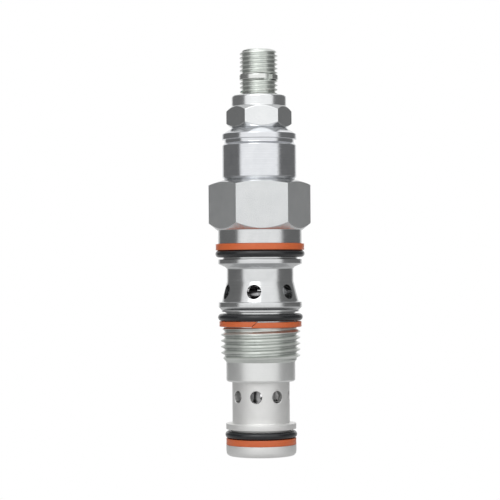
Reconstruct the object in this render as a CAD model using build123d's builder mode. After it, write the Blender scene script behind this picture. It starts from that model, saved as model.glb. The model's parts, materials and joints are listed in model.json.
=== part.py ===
"""Screw-in, three-port hydraulic cartridge valve with a screw adjuster.

Millimetres. +Z points from the nose towards the adjusting screw. The origin is on the valve's axis,
in the plane of the hexagon's underside, which seats on the manifold.
"""

from build123d import *
from math import asin, cos, pi, radians, sin, sqrt, tan
import os

os.makedirs("parts", exist_ok=True)

# ---------------------------------------------------------------------------------------------
# Driving dimensions
# ---------------------------------------------------------------------------------------------

# Clearances
running_gap = 0.03  # radial play of parts that turn or slide in each other
seat_gap = 0.03  # play between parts that are fitted and stay put
stop_gap = 0.05  # axial gap left at a stop
thread_gap = 0.04  # play between a thread's crests and the hole it screws into
trim_margin = 0.1  # by which a cutting outline stands clear of the surface it trims

# Hexagon of the body
hex_af = 22.2  # 7/8 in across flats
hex_height = 12.45
hex_turn = 2.9  # degrees about Z
hex_top_flat_d = 19.3
hex_bottom_flat_d = 21.4
hex_top_bevel = 1.15
hex_bottom_bevel = 1.75

# Shank of the body, from the hexagon down
upper_land_d = 21.0
upper_land_length = 3.4
upper_lip_length = 1.1
neck_d = 16.7
neck_shoulder = 0.9
neck_length = 3.5
neck_top_flare = 0.4  # the neck widens by this under its shoulder
neck_top_flare_length = 0.4
neck_top_flare_drop = 0.3  # lower end of the widening, below the shoulder
cone_end_d = 19.3
cone_length = 5.1
middle_land_d = 20.9
middle_land_length = 1.3
middle_land_bevel = 0.7
middle_land_edge = 0.15
middle_lip_d = 19.5
middle_lip_length = 0.5

# Mounting thread M20 x 1.5
body_thread_d = 20.0
body_thread_allowance = 0.1
body_thread_pitch = 1.5
body_thread_length = 6.9
body_thread_relief = 0.2
body_thread_lead_in = 1.5
collar_d = 17.26
collar_length = 4.9
collar_bevel = 0.35

# Ports
side_port_d = 3.6
side_port_count = 6
side_port_drop = 2.6  # below the neck's lower end
side_port_turn = -100.0  # degrees about Z
sleeve_port_d = 3.0
sleeve_port_count = 8
sleeve_port_drop = 3.7  # below the body's lower end
sleeve_port_turn = -100.0

# Seals in the three outer grooves
seal_groove_width = 3.9
seal_section = 1.78
backup_width = 1.55
upper_seal_d = 22.36
middle_seal_d = 21.26
nose_seal_d = 17.96
upper_backup_d = 22.2
middle_backup_d = 20.6
nose_backup_d = 17.56
scarf_gap = 0.25
scarf_angle = 35.0  # degrees from the valve's axis
upper_slit_turn = 70.0  # directions of the slits, degrees about Z
middle_slit_turn = -99.0
nose_slit_turn = 130.0
hidden_slit_turn = 0.0

# Small hidden seals
small_seal_section = 1.02
small_seal_squeeze = 0.12
small_groove_width = 1.35

# Sleeve
sleeve_d = 14.36
sleeve_exposed_length = 10.5
sleeve_held_length = 11.5
sleeve_edge = 0.3
nose_d = 17.56
nose_lip_length = 1.4
nose_tip_length = 2.8
nose_round = 1.25
nose_edge = 0.15
nose_bore_d = 9.8
relief_bore_d = 10.3
port_annulus_d = 11.0
port_annulus_width = 3.2
metering_land_length = 3.0
retaining_ring_width = 1.0
retaining_ring_rise = 1.9  # above the body's lower end
retaining_ring_grip = 0.6  # depth of the ring in the sleeve
retaining_ring_reach = 0.5  # depth of the ring in the body
retaining_ring_mouth = 20.0  # degrees of opening
retaining_ring_turn = 90.0  # direction of the opening
sleeve_seal_rise = 5.4

# Spool
spool_bore_d = 9.2  # bore of the sleeve that the spool slides in
spool_land_length = 4.9
spool_groove_d = 7.4
spool_groove_width = 3.0
spool_shank_d = 7.2
spool_shank_bevel = 0.6
spool_hollow_d = 5.2
spool_hollow_end = 3.1  # above the sleeve ports
spool_cross_hole_d = 2.2
spool_cross_hole_count = 4
spool_cross_hole_turn = -77.5  # degrees about Z, between two of the sleeve's ports
spool_drain_d = 2.2
spool_above_sleeve = 1.4
orifice_plug_d = 3.6
orifice_plug_length = 3.0
orifice_d = 0.8
stop_ring_width = 1.0
stop_ring_bore_d = 7.2
stop_ring_depth = 0.6  # of its groove in the nose bore
stop_ring_rise = 1.9  # above the nose's lower end
stop_ring_mouth = 40.0
stop_ring_turn = 60.0

# Spring and its guides
spring_d = 11.4
spring_wire_d = 1.6
spring_length = 28.0
spring_coils = 9.5
spring_chamber_d = 12.6
guide_d = 11.8
guide_flange = 2.3
guide_recess = 0.8
guide_stem_length = 3.5
guide_drill_d = 3.0
guide_dome = 1.4
guide_stem_gap = 0.3  # between a stem and the spring
guide_stem_edge = 0.4

# Spring housing
housing_spigot_d = 16.0
housing_spigot_length = 11.6
housing_bore_d = 12.8
housing_d = 18.6
housing_foot = 0.85
housing_foot_d = 17.3
housing_length = 7.9  # of the plain barrel above its foot
housing_groove_d = 17.46
housing_groove_bevel = 0.6
housing_groove_width = 0.9
housing_flange_d = 18.66
housing_flange_length = 1.35
housing_cone_length = 1.55
housing_top_d = 13.7
housing_seal_drop = 2.6  # of its groove below the hexagon's top

# Adjusting screw, 3/8-24 UNF
screw_thread_d = 9.525
screw_pitch = 25.4 / 24
screw_top_above_nut = 11.6
screw_tip_d = 5.8
screw_tip_round = 1.3
screw_tip_edge = 0.35
socket_af = 3.97  # 5/32 in
socket_depth = 4.5
socket_turn = 14.0  # degrees about Z
piston_length = 6.0
piston_seal_squeeze = 0.2
piston_groove_width = 3.1
piston_lip = 1.3
piston_edge = 0.3
turns_out = 1.75  # turns that the screw can be backed out
piston_top_gap = 0.15  # left above the piston when it is backed out

# Snap ring on the adjusting screw
snap_ring_above_nut = 3.9
snap_ring_width = 1.25
snap_ring_d = 9.7
snap_groove_d = 8.0
snap_ring_mouth = 26.0  # degrees of opening
snap_ring_turn = -57.0  # direction of the opening, degrees about Z

# Locknut with a nylon insert
nut_af = 14.3  # 9/16 in
nut_turn = 5.0
nut_height = 8.2
nut_collar_d = 13.7
nut_collar_height = 2.75
nut_collar_round = 1.3
nut_bevel = 1.25
nut_foot_bevel = 1.1
insert_d = 12.0
insert_height = 1.7
insert_lid = 0.45
insert_lid_bore_d = 10.9

# ---------------------------------------------------------------------------------------------
# Heights that follow from the sizes above
# ---------------------------------------------------------------------------------------------

# Body, from the seating plane at 0 down
upper_groove_top = -upper_land_length
upper_groove_end = upper_groove_top - seal_groove_width
neck_shoulder_top = upper_groove_end - upper_lip_length
neck_top = neck_shoulder_top - neck_shoulder
neck_flare_end = neck_top - neck_top_flare_drop
neck_end = neck_top - neck_length
cone_end = neck_end - cone_length
middle_land_end = cone_end - middle_land_length
middle_lip_top = middle_land_end - middle_land_bevel
middle_groove_top = middle_lip_top - middle_lip_length
middle_groove_end = middle_groove_top - seal_groove_width
thread_top = middle_groove_end - body_thread_relief
thread_end = thread_top - body_thread_length
collar_top = thread_end - body_thread_lead_in
body_end = collar_top - collar_length
side_port_z = neck_end - side_port_drop

# Sleeve, from the body's lower end
sleeve_top = body_end + sleeve_held_length
nose_top = body_end - sleeve_exposed_length
nose_groove_top = nose_top - nose_lip_length
nose_groove_end = nose_groove_top - seal_groove_width
nose_end = nose_groove_end - nose_tip_length
sleeve_port_z = body_end - sleeve_port_drop
annulus_top = sleeve_port_z + port_annulus_width / 2
metering_top = annulus_top + metering_land_length
retaining_ring_z = body_end + retaining_ring_rise
sleeve_seal_z = body_end + sleeve_seal_rise
stop_ring_z = nose_end + stop_ring_rise

# Spool in its lowest place, on the stop ring
spool_end = stop_ring_z + stop_ring_width + stop_gap
spool_top = sleeve_top + spool_above_sleeve
spool_groove_top = sleeve_port_z + spool_groove_width / 2
spool_land_top = spool_groove_top + spool_land_length

# Spring
lower_guide_end = spool_top - guide_recess
spring_end = lower_guide_end + guide_flange
spring_top = spring_end + spring_length
upper_guide_top = spring_top + guide_flange
piston_end = upper_guide_top + guide_dome + stop_gap
piston_top = piston_end + piston_length

# Housing, from the hexagon's top
housing_end = hex_height - housing_spigot_length
barrel_end = hex_height + housing_foot
barrel_top = barrel_end + housing_length
housing_groove_end = barrel_top + housing_groove_bevel
housing_groove_top = housing_groove_end + housing_groove_width
housing_flange_top = housing_groove_top + housing_flange_length
housing_top = housing_flange_top + housing_cone_length
housing_seal_z = hex_height - housing_seal_drop
piston_travel_out = turns_out * screw_pitch
housing_shoulder = piston_top + piston_travel_out + piston_top_gap

# Locknut and the end of the screw
nut_end = housing_top
nut_top = nut_end + nut_height
nut_collar_end = nut_top - nut_collar_height
insert_top = nut_top - insert_lid
insert_end = insert_top - insert_height
screw_top = nut_top + screw_top_above_nut
snap_ring_z = nut_top + snap_ring_above_nut

# Radii that several pieces share
nose_seal_floor = nose_seal_d / 2 - seal_section
upper_seal_floor = upper_seal_d / 2 - seal_section
middle_seal_floor = middle_seal_d / 2 - seal_section
small_seal_depth = small_seal_section - small_seal_squeeze
sleeve_hole_r = sleeve_d / 2 + seat_gap
sleeve_seal_floor = sleeve_hole_r - small_seal_depth
spigot_hole_r = housing_spigot_d / 2 + seat_gap
housing_seal_floor = spigot_hole_r - small_seal_depth
retaining_ring_inner_r = sleeve_d / 2 - retaining_ring_grip
retaining_ring_outer_r = sleeve_d / 2 + retaining_ring_reach
piston_r = housing_bore_d / 2 - running_gap
piston_seal_floor = housing_bore_d / 2 - seal_section + piston_seal_squeeze
screw_hole_r = screw_thread_d / 2 + thread_gap


# ---------------------------------------------------------------------------------------------
# Shapes that repeat
# ---------------------------------------------------------------------------------------------


def turned(outline):
    """Solid of revolution about Z, from (radius, height) corners given in order."""
    with BuildPart() as piece:
        with BuildSketch(Plane.XZ):
            with BuildLine():
                Polyline(*outline, close=True)
            make_face()
        revolve(axis=Axis.Z)
    return piece.part


def tube(outer_r, inner_r, z_low, z_high):
    """Plain ring between two heights."""
    return turned([(inner_r, z_low), (outer_r, z_low), (outer_r, z_high), (inner_r, z_high)])


def drilling(radius, z_low, z_high):
    """Round core to subtract, standing on Z."""
    return turned([(0, z_low), (radius, z_low), (radius, z_high), (0, z_high)])


def thread_ridge(major_r, pitch, z_low, z_high):
    """Right-hand helical ridge of a 60 degree thread, with the root radius it stands on."""
    height = 0.6134 * pitch
    root_r = major_r - height
    half_crest = pitch / 16
    half_foot = half_crest + (height + trim_margin) * tan(radians(30))
    with BuildPart() as ridge:
        with BuildLine(Plane.XY.offset(z_low)) as path:
            Helix(pitch=pitch, height=z_high - z_low, radius=root_r)
        with BuildSketch(Plane(origin=(root_r, 0, z_low), x_dir=(1, 0, 0), z_dir=(0, -1, 0))):
            with BuildLine():
                Polyline(
                    (-trim_margin, -half_foot),
                    (height, -half_crest),
                    (height, half_crest),
                    (-trim_margin, half_foot),
                    close=True,
                )
            make_face()
        sweep(path=path.line, is_frenet=True)
    return ridge.part, root_r


def make_o_ring(label, floor_r, outer_r, z):
    """Round-section rubber ring standing on a groove floor."""
    section_r = (outer_r - floor_r) / 2
    with BuildPart() as ring:
        with BuildSketch(Plane.XZ):
            with Locations((floor_r + section_r, z)):
                Circle(section_r)
        revolve(axis=Axis.Z)
    ring.part.label = label
    export_step(ring.part, f"parts/{label}.step")


def make_backup_ring(label, floor_r, outer_r, z_low, width, slit_turn):
    """Flat plastic ring beside an O-ring, slit at a slant so that it can be fitted."""
    out = Vector(cos(radians(slit_turn)), sin(radians(slit_turn)), 0)
    along = Vector(-out.Y, out.X, 0)
    slant = radians(scarf_angle)
    with BuildPart() as ring:
        add(tube(outer_r, floor_r + seat_gap, z_low, z_low + width))
        slit = Plane(
            origin=out * (outer_r + floor_r) / 2 + Vector(0, 0, z_low + width / 2),
            x_dir=along * cos(slant) - Vector(0, 0, sin(slant)),
            z_dir=out,
        )
        with BuildSketch(slit):
            Rectangle(scarf_gap, 4 * width)
        extrude(amount=outer_r - floor_r, both=True, mode=Mode.SUBTRACT)
    ring.part.label = label
    export_step(ring.part, f"parts/{label}.step")


def make_split_ring(label, inner_r, outer_r, z_low, width, mouth, turn):
    """Spring-steel retaining ring with an open mouth."""
    with BuildPart() as ring:
        add(tube(outer_r, inner_r, z_low, z_low + width))
        with BuildSketch(Plane.XY.offset(z_low)):
            with BuildLine():
                reach = 2 * outer_r
                low = radians(turn - mouth / 2)
                high = radians(turn + mouth / 2)
                corners = [(reach * cos(low), reach * sin(low)), (reach * cos(high), reach * sin(high))]
                Polyline((0, 0), *corners, close=True)
            make_face()
        extrude(amount=width, mode=Mode.SUBTRACT)
    ring.part.label = label
    export_step(ring.part, f"parts/{label}.step")


# ---------------------------------------------------------------------------------------------
# Body: hexagon, stepped shank, mounting thread and side ports
# ---------------------------------------------------------------------------------------------

body_thread_r = (body_thread_d - body_thread_allowance) / 2
hex_corner_r = hex_af / sqrt(3)

body_ridge, body_root_r = thread_ridge(
    body_thread_r, body_thread_pitch, thread_end - body_thread_pitch / 2, thread_top
)

with BuildPart() as body_thread:
    add(body_ridge)
    add(
        turned(
            [
                (collar_d / 2 - trim_margin, collar_top),
                (collar_d / 2, collar_top),
                (body_thread_r + trim_margin, thread_end),
                (body_thread_r + trim_margin, thread_top - body_thread_relief),
                (body_root_r, thread_top + body_thread_relief),
                (collar_d / 2 - trim_margin, thread_top + body_thread_relief),
            ]
        ),
        mode=Mode.INTERSECT,
    )

with BuildPart() as hex_body:
    with BuildSketch(Plane.XY):
        RegularPolygon(radius=hex_af / 2, side_count=6, major_radius=False, rotation=hex_turn)
    extrude(amount=hex_height)
    add(
        turned(
            [
                (0, 0),
                (hex_bottom_flat_d / 2, 0),
                (hex_corner_r, hex_bottom_bevel),
                (hex_corner_r, hex_height - hex_top_bevel),
                (hex_top_flat_d / 2, hex_height),
                (0, hex_height),
            ]
        ),
        mode=Mode.INTERSECT,
    )
    add(
        turned(
            [
                (0, 0),
                (upper_land_d / 2, 0),
                (upper_land_d / 2, upper_groove_top),
                (upper_seal_floor, upper_groove_top),
                (upper_seal_floor, upper_groove_end),
                (upper_land_d / 2, upper_groove_end),
                (upper_land_d / 2, neck_shoulder_top),
                (neck_d / 2 + neck_top_flare, neck_flare_end + neck_top_flare_length),
                (neck_d / 2, neck_flare_end),
                (neck_d / 2, neck_end),
                (cone_end_d / 2, cone_end),
                (middle_land_d / 2, cone_end - middle_land_edge),
                (middle_land_d / 2, middle_land_end),
                (middle_lip_d / 2, middle_lip_top),
                (middle_lip_d / 2, middle_groove_top),
                (middle_seal_floor, middle_groove_top),
                (middle_seal_floor, middle_groove_end),
                (body_root_r, thread_top),
                (body_root_r, thread_end),
                (collar_d / 2, collar_top),
                (collar_d / 2, body_end + collar_bevel),
                (collar_d / 2 - collar_bevel, body_end),
                (0, body_end),
            ]
        )
    )
    add(body_thread.part)
    # stepped bore: sleeve below, spring chamber, housing spigot above
    add(drilling(sleeve_hole_r, body_end, sleeve_top + stop_gap), mode=Mode.SUBTRACT)
    add(drilling(spring_chamber_d / 2, body_end, hex_height), mode=Mode.SUBTRACT)
    add(drilling(spigot_hole_r, housing_end - stop_gap, hex_height), mode=Mode.SUBTRACT)
    add(
        tube(
            retaining_ring_outer_r + seat_gap,
            sleeve_hole_r - seat_gap,
            retaining_ring_z - seat_gap,
            retaining_ring_z + retaining_ring_width + seat_gap,
        ),
        mode=Mode.SUBTRACT,
    )
    with Locations((0, 0, side_port_z)):
        with PolarLocations(neck_d / 2, side_port_count, start_angle=side_port_turn):
            Cylinder(side_port_d / 2, neck_d / 2, rotation=(0, 90, 0), mode=Mode.SUBTRACT)
hex_body.part.label = "hex_body"
export_step(hex_body.part, "parts/hex_body.step")

# ---------------------------------------------------------------------------------------------
# Spring housing, screwed into the top of the body
# ---------------------------------------------------------------------------------------------

with BuildPart() as spring_housing:
    add(
        turned(
            [
                (housing_bore_d / 2, housing_end),
                (housing_spigot_d / 2, housing_end),
                (housing_spigot_d / 2, housing_seal_z - small_groove_width / 2),
                (housing_seal_floor, housing_seal_z - small_groove_width / 2),
                (housing_seal_floor, housing_seal_z + small_groove_width / 2),
                (housing_spigot_d / 2, housing_seal_z + small_groove_width / 2),
                (housing_spigot_d / 2, hex_height),
                (housing_foot_d / 2, hex_height),
                (housing_d / 2, barrel_end),
                (housing_d / 2, barrel_top),
                (housing_groove_d / 2, housing_groove_end),
                (housing_groove_d / 2, housing_groove_top),
                (housing_flange_d / 2, housing_groove_top),
                (housing_flange_d / 2, housing_flange_top),
                (housing_top_d / 2, housing_top),
                (screw_hole_r, housing_top),
                (screw_hole_r, housing_shoulder),
                (housing_bore_d / 2, housing_shoulder),
            ]
        )
    )
spring_housing.part.label = "spring_housing"
export_step(spring_housing.part, "parts/spring_housing.step")

make_o_ring("housing_o_ring", housing_seal_floor, spigot_hole_r, housing_seal_z)

# ---------------------------------------------------------------------------------------------
# Adjusting screw with its piston, seals and snap ring
# ---------------------------------------------------------------------------------------------

screw_thread_r = screw_thread_d / 2
screw_ridge, screw_root_r = thread_ridge(screw_thread_r, screw_pitch, piston_top + 0.5, screw_top)

with BuildPart() as screw_thread:
    add(screw_ridge)
    add(
        turned(
            [
                (0, piston_top + screw_pitch),
                (screw_root_r, piston_top + screw_pitch),
                (screw_thread_r + trim_margin, piston_top + 2 * screw_pitch),
                (screw_thread_r + trim_margin, screw_top - screw_tip_round),
                (screw_tip_d / 2, screw_top),
                (0, screw_top),
            ]
        ),
        mode=Mode.INTERSECT,
    )

piston_groove_end = piston_end + piston_lip
piston_groove_top = piston_groove_end + piston_groove_width

with BuildPart() as adjusting_screw:
    add(
        turned(
            [
                (0, piston_end),
                (piston_r - piston_edge, piston_end),
                (piston_r, piston_end + piston_edge),
                (piston_r, piston_groove_end),
                (piston_seal_floor, piston_groove_end),
                (piston_seal_floor, piston_groove_top),
                (piston_r, piston_groove_top),
                (piston_r, piston_top),
                (screw_root_r, piston_top),
                (screw_root_r, screw_top - screw_tip_round * 0.6),
                (screw_root_r - screw_tip_edge, screw_top - screw_tip_round * 0.2),
                (screw_tip_d / 2, screw_top),
                (0, screw_top),
            ]
        )
    )
    add(screw_thread.part)
    add(
        tube(
            screw_thread_d,
            snap_groove_d / 2,
            snap_ring_z - seat_gap,
            snap_ring_z + snap_ring_width + seat_gap,
        ),
        mode=Mode.SUBTRACT,
    )
    with BuildSketch(Plane.XY.offset(screw_top)):
        RegularPolygon(radius=socket_af / 2, side_count=6, major_radius=False, rotation=socket_turn)
    extrude(amount=-socket_depth, mode=Mode.SUBTRACT)
adjusting_screw.part.label = "adjusting_screw"
export_step(adjusting_screw.part, "parts/adjusting_screw.step")

piston_seal_outer_r = housing_bore_d / 2 - running_gap
piston_seal_z = piston_groove_end + (piston_seal_outer_r - piston_seal_floor) / 2
make_o_ring("screw_o_ring", piston_seal_floor, piston_seal_outer_r, piston_seal_z)
make_backup_ring(
    "screw_backup_ring",
    piston_seal_floor,
    piston_r,
    piston_groove_top - small_groove_width,
    small_groove_width - seat_gap,
    hidden_slit_turn,
)
make_split_ring(
    "screw_snap_ring",
    snap_groove_d / 2 + seat_gap,
    snap_ring_d / 2,
    snap_ring_z,
    snap_ring_width,
    snap_ring_mouth,
    snap_ring_turn,
)

# ---------------------------------------------------------------------------------------------
# Locknut and its nylon insert
# ---------------------------------------------------------------------------------------------

nut_corner_r = nut_af / sqrt(3)

with BuildPart() as locknut:
    with BuildSketch(Plane.XY.offset(nut_end)):
        RegularPolygon(radius=nut_af / 2, side_count=6, major_radius=False, rotation=nut_turn)
    extrude(amount=nut_height)
    with BuildSketch(Plane.XZ):
        with BuildLine():
            Polyline(
                (0, nut_top),
                (0, nut_end),
                (nut_collar_d / 2, nut_end),
                (nut_corner_r, nut_end + nut_foot_bevel),
                (nut_corner_r, nut_collar_end - nut_bevel),
                (nut_collar_d / 2, nut_collar_end),
                (nut_collar_d / 2, nut_top - nut_collar_round),
            )
            RadiusArc(
                (nut_collar_d / 2, nut_top - nut_collar_round),
                (nut_collar_d / 2 - nut_collar_round, nut_top),
                -nut_collar_round,
            )
            Line((nut_collar_d / 2 - nut_collar_round, nut_top), (0, nut_top))
        make_face()
    revolve(axis=Axis.Z, mode=Mode.INTERSECT)
    add(drilling(screw_hole_r, nut_end, insert_end), mode=Mode.SUBTRACT)
    add(
        drilling(insert_d / 2 + running_gap, insert_end - running_gap, insert_top + running_gap),
        mode=Mode.SUBTRACT,
    )
    add(drilling(insert_lid_bore_d / 2, insert_top, nut_top), mode=Mode.SUBTRACT)
locknut.part.label = "locknut"
export_step(locknut.part, "parts/locknut.step")

with BuildPart() as locknut_insert:
    add(tube(insert_d / 2, screw_hole_r, insert_end, insert_top))
locknut_insert.part.label = "locknut_insert"
export_step(locknut_insert.part, "parts/locknut_insert.step")

# ---------------------------------------------------------------------------------------------
# Spring and its two guides
# ---------------------------------------------------------------------------------------------

spring_mean_r = (spring_d - spring_wire_d) / 2
spring_lead = (spring_length - spring_wire_d / 2) / spring_coils
stem_r = spring_d / 2 - spring_wire_d - guide_stem_gap

with BuildPart() as main_spring:
    with BuildLine(Plane.XY.offset(spring_end + spring_wire_d / 4)) as wire_path:
        Helix(pitch=spring_lead, height=spring_coils * spring_lead, radius=spring_mean_r)
    wire_start = Plane(
        origin=(spring_mean_r, 0, spring_end + spring_wire_d / 4),
        x_dir=(1, 0, 0),
        z_dir=(0, 2 * pi * spring_mean_r, spring_lead),
    )
    with BuildSketch(wire_start):
        Circle(spring_wire_d / 2)
    sweep(path=wire_path.line, is_frenet=True)
    # ground flat at both ends
    add(drilling(spring_d, spring_end, spring_top), mode=Mode.INTERSECT)
main_spring.part.label = "main_spring"
export_step(main_spring.part, "parts/main_spring.step")

dome_top = upper_guide_top + guide_dome
dome_r = (stem_r**2 + guide_dome**2) / (2 * guide_dome)
dome_half_turn = asin(stem_r / dome_r) / 2
dome_middle = (dome_r * sin(dome_half_turn), dome_top - dome_r * (1 - cos(dome_half_turn)))

with BuildPart() as upper_spring_guide:
    with BuildSketch(Plane.XZ):
        with BuildLine():
            Polyline(
                (0, dome_top),
                (0, spring_top - guide_stem_length),
                (stem_r - guide_stem_edge, spring_top - guide_stem_length),
                (stem_r, spring_top - guide_stem_length + guide_stem_edge),
                (stem_r, spring_top),
                (guide_d / 2, spring_top),
                (guide_d / 2, upper_guide_top),
                (stem_r, upper_guide_top),
            )
            ThreePointArc((stem_r, upper_guide_top), dome_middle, (0, dome_top))
        make_face()
    revolve(axis=Axis.Z)
upper_spring_guide.part.label = "upper_spring_guide"
export_step(upper_spring_guide.part, "parts/upper_spring_guide.step")

with BuildPart() as lower_spring_guide:
    add(
        turned(
            [
                (0, spring_end + guide_stem_length),
                (stem_r - guide_stem_edge, spring_end + guide_stem_length),
                (stem_r, spring_end + guide_stem_length - guide_stem_edge),
                (stem_r, spring_end),
                (guide_d / 2, spring_end),
                (guide_d / 2, lower_guide_end),
                (0, lower_guide_end),
            ]
        )
    )
    add(drilling(spool_shank_d / 2 + seat_gap, lower_guide_end, spool_top), mode=Mode.SUBTRACT)
    add(drilling(guide_drill_d / 2, lower_guide_end, spring_top), mode=Mode.SUBTRACT)
lower_spring_guide.part.label = "lower_spring_guide"
export_step(lower_spring_guide.part, "parts/lower_spring_guide.step")

# ---------------------------------------------------------------------------------------------
# Sleeve, held in the body by a wire ring, with its nose
# ---------------------------------------------------------------------------------------------

sleeve_groove_width = 2 * small_groove_width

with BuildPart() as sleeve:
    with BuildSketch(Plane.XZ):
        with BuildLine():
            Polyline(
                (nose_d / 2 - nose_round, nose_end),
                (0, nose_end),
                (0, sleeve_top),
                (sleeve_d / 2 - sleeve_edge, sleeve_top),
                (sleeve_d / 2, sleeve_top - sleeve_edge),
                (sleeve_d / 2, sleeve_seal_z + sleeve_groove_width / 2),
                (sleeve_seal_floor, sleeve_seal_z + sleeve_groove_width / 2),
                (sleeve_seal_floor, sleeve_seal_z - sleeve_groove_width / 2),
                (sleeve_d / 2, sleeve_seal_z - sleeve_groove_width / 2),
                (sleeve_d / 2, retaining_ring_z + retaining_ring_width + seat_gap),
                (retaining_ring_inner_r - seat_gap, retaining_ring_z + retaining_ring_width + seat_gap),
                (retaining_ring_inner_r - seat_gap, retaining_ring_z - seat_gap),
                (sleeve_d / 2, retaining_ring_z - seat_gap),
                (sleeve_d / 2, nose_top),
                (nose_d / 2 - nose_edge, nose_top),
                (nose_d / 2, nose_top - nose_edge),
                (nose_d / 2, nose_groove_top),
                (nose_seal_floor, nose_groove_top),
                (nose_seal_floor, nose_groove_end),
                (nose_d / 2, nose_groove_end),
                (nose_d / 2, nose_end + nose_round),
            )
            RadiusArc(
                (nose_d / 2, nose_end + nose_round),
                (nose_d / 2 - nose_round, nose_end),
                nose_round,
            )
        make_face()
    revolve(axis=Axis.Z)
    add(drilling(spool_bore_d / 2, nose_end, sleeve_top), mode=Mode.SUBTRACT)
    add(drilling(relief_bore_d / 2, metering_top, sleeve_top), mode=Mode.SUBTRACT)
    add(drilling(nose_bore_d / 2, nose_end, stop_ring_z), mode=Mode.SUBTRACT)
    add(
        drilling(
            spool_bore_d / 2 + stop_ring_depth + seat_gap,
            stop_ring_z - seat_gap,
            stop_ring_z + stop_ring_width + seat_gap,
        ),
        mode=Mode.SUBTRACT,
    )
    add(drilling(port_annulus_d / 2, annulus_top - port_annulus_width, annulus_top), mode=Mode.SUBTRACT)
    with Locations((0, 0, sleeve_port_z)):
        with PolarLocations(sleeve_d / 2, sleeve_port_count, start_angle=sleeve_port_turn):
            Cylinder(sleeve_port_d / 2, sleeve_d / 2, rotation=(0, 90, 0), mode=Mode.SUBTRACT)
sleeve.part.label = "sleeve"
export_step(sleeve.part, "parts/sleeve.step")

sleeve_groove_end = sleeve_seal_z - sleeve_groove_width / 2
make_o_ring(
    "sleeve_o_ring",
    sleeve_seal_floor,
    sleeve_hole_r,
    sleeve_groove_end + small_seal_section / 2,
)
make_backup_ring(
    "sleeve_backup_ring",
    sleeve_seal_floor,
    sleeve_d / 2,
    sleeve_groove_end + small_groove_width,
    small_groove_width - seat_gap,
    hidden_slit_turn,
)
make_split_ring(
    "sleeve_retaining_ring",
    retaining_ring_inner_r,
    retaining_ring_outer_r,
    retaining_ring_z,
    retaining_ring_width,
    retaining_ring_mouth,
    retaining_ring_turn,
)

# ---------------------------------------------------------------------------------------------
# Spool, its orifice plug and the ring it rests on
# ---------------------------------------------------------------------------------------------

spool_r = spool_bore_d / 2 - running_gap

with BuildPart() as spool:
    add(
        turned(
            [
                (0, spool_end),
                (spool_r, spool_end),
                (spool_r, spool_groove_top - spool_groove_width),
                (spool_groove_d / 2, spool_groove_top - spool_groove_width),
                (spool_groove_d / 2, spool_groove_top),
                (spool_r, spool_groove_top),
                (spool_r, spool_land_top),
                (spool_shank_d / 2, spool_land_top + spool_shank_bevel),
                (spool_shank_d / 2, spool_top),
                (0, spool_top),
            ]
        )
    )
    add(drilling(spool_hollow_d / 2, spool_end, sleeve_port_z + spool_hollow_end), mode=Mode.SUBTRACT)
    add(drilling(spool_drain_d / 2, spool_end, spool_top), mode=Mode.SUBTRACT)
    add(
        drilling(orifice_plug_d / 2 + seat_gap, spool_top - orifice_plug_length - seat_gap, spool_top),
        mode=Mode.SUBTRACT,
    )
    with Locations((0, 0, sleeve_port_z)):
        with PolarLocations(spool_groove_d / 2, spool_cross_hole_count, start_angle=spool_cross_hole_turn):
            Cylinder(spool_cross_hole_d / 2, spool_groove_d / 2, rotation=(0, 90, 0), mode=Mode.SUBTRACT)
spool.part.label = "spool"
export_step(spool.part, "parts/spool.step")

with BuildPart() as damping_orifice:
    add(
        tube(
            orifice_plug_d / 2,
            orifice_d / 2,
            spool_top - orifice_plug_length,
            spool_top - seat_gap,
        )
    )
damping_orifice.part.label = "damping_orifice"
export_step(damping_orifice.part, "parts/damping_orifice.step")

make_split_ring(
    "spool_stop_ring",
    stop_ring_bore_d / 2,
    spool_bore_d / 2 + stop_ring_depth,
    stop_ring_z,
    stop_ring_width,
    stop_ring_mouth,
    stop_ring_turn,
)

# ---------------------------------------------------------------------------------------------
# Outer seals: an O-ring and a slit backup ring in each of the three grooves
# ---------------------------------------------------------------------------------------------

make_backup_ring(
    "upper_backup_ring",
    upper_seal_floor,
    upper_backup_d / 2,
    upper_groove_top - seat_gap - backup_width,
    backup_width,
    upper_slit_turn,
)
make_o_ring(
    "upper_o_ring",
    upper_seal_floor,
    upper_seal_d / 2,
    upper_groove_top - 2 * seat_gap - backup_width - seal_section / 2,
)
make_o_ring(
    "middle_o_ring",
    middle_seal_floor,
    middle_seal_d / 2,
    middle_groove_end + seat_gap + backup_width + 2 * seat_gap + seal_section / 2,
)
make_backup_ring(
    "middle_backup_ring",
    middle_seal_floor,
    middle_backup_d / 2,
    middle_groove_end + seat_gap,
    backup_width,
    middle_slit_turn,
)
make_o_ring(
    "nose_o_ring",
    nose_seal_floor,
    nose_seal_d / 2,
    nose_groove_end + seat_gap + backup_width + 2 * seat_gap + seal_section / 2,
)
make_backup_ring(
    "nose_backup_ring",
    nose_seal_floor,
    nose_backup_d / 2,
    nose_groove_end + seat_gap,
    backup_width,
    nose_slit_turn,
)
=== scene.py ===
"""Looks of a screw-in hydraulic cartridge valve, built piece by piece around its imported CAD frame.

Sizes in the classes are millimetres. Some are read from the boxes of the CAD nodes. Each piece is
shaped in millimetres and brought to metres when it is handed over to the frame.
"""

import json
import logging
import math
from collections.abc import Callable, Iterable, Sequence
from dataclasses import dataclass, field
from enum import Enum
from functools import cache

import bmesh
import bpy
from mathutils import Matrix, Vector


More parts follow.
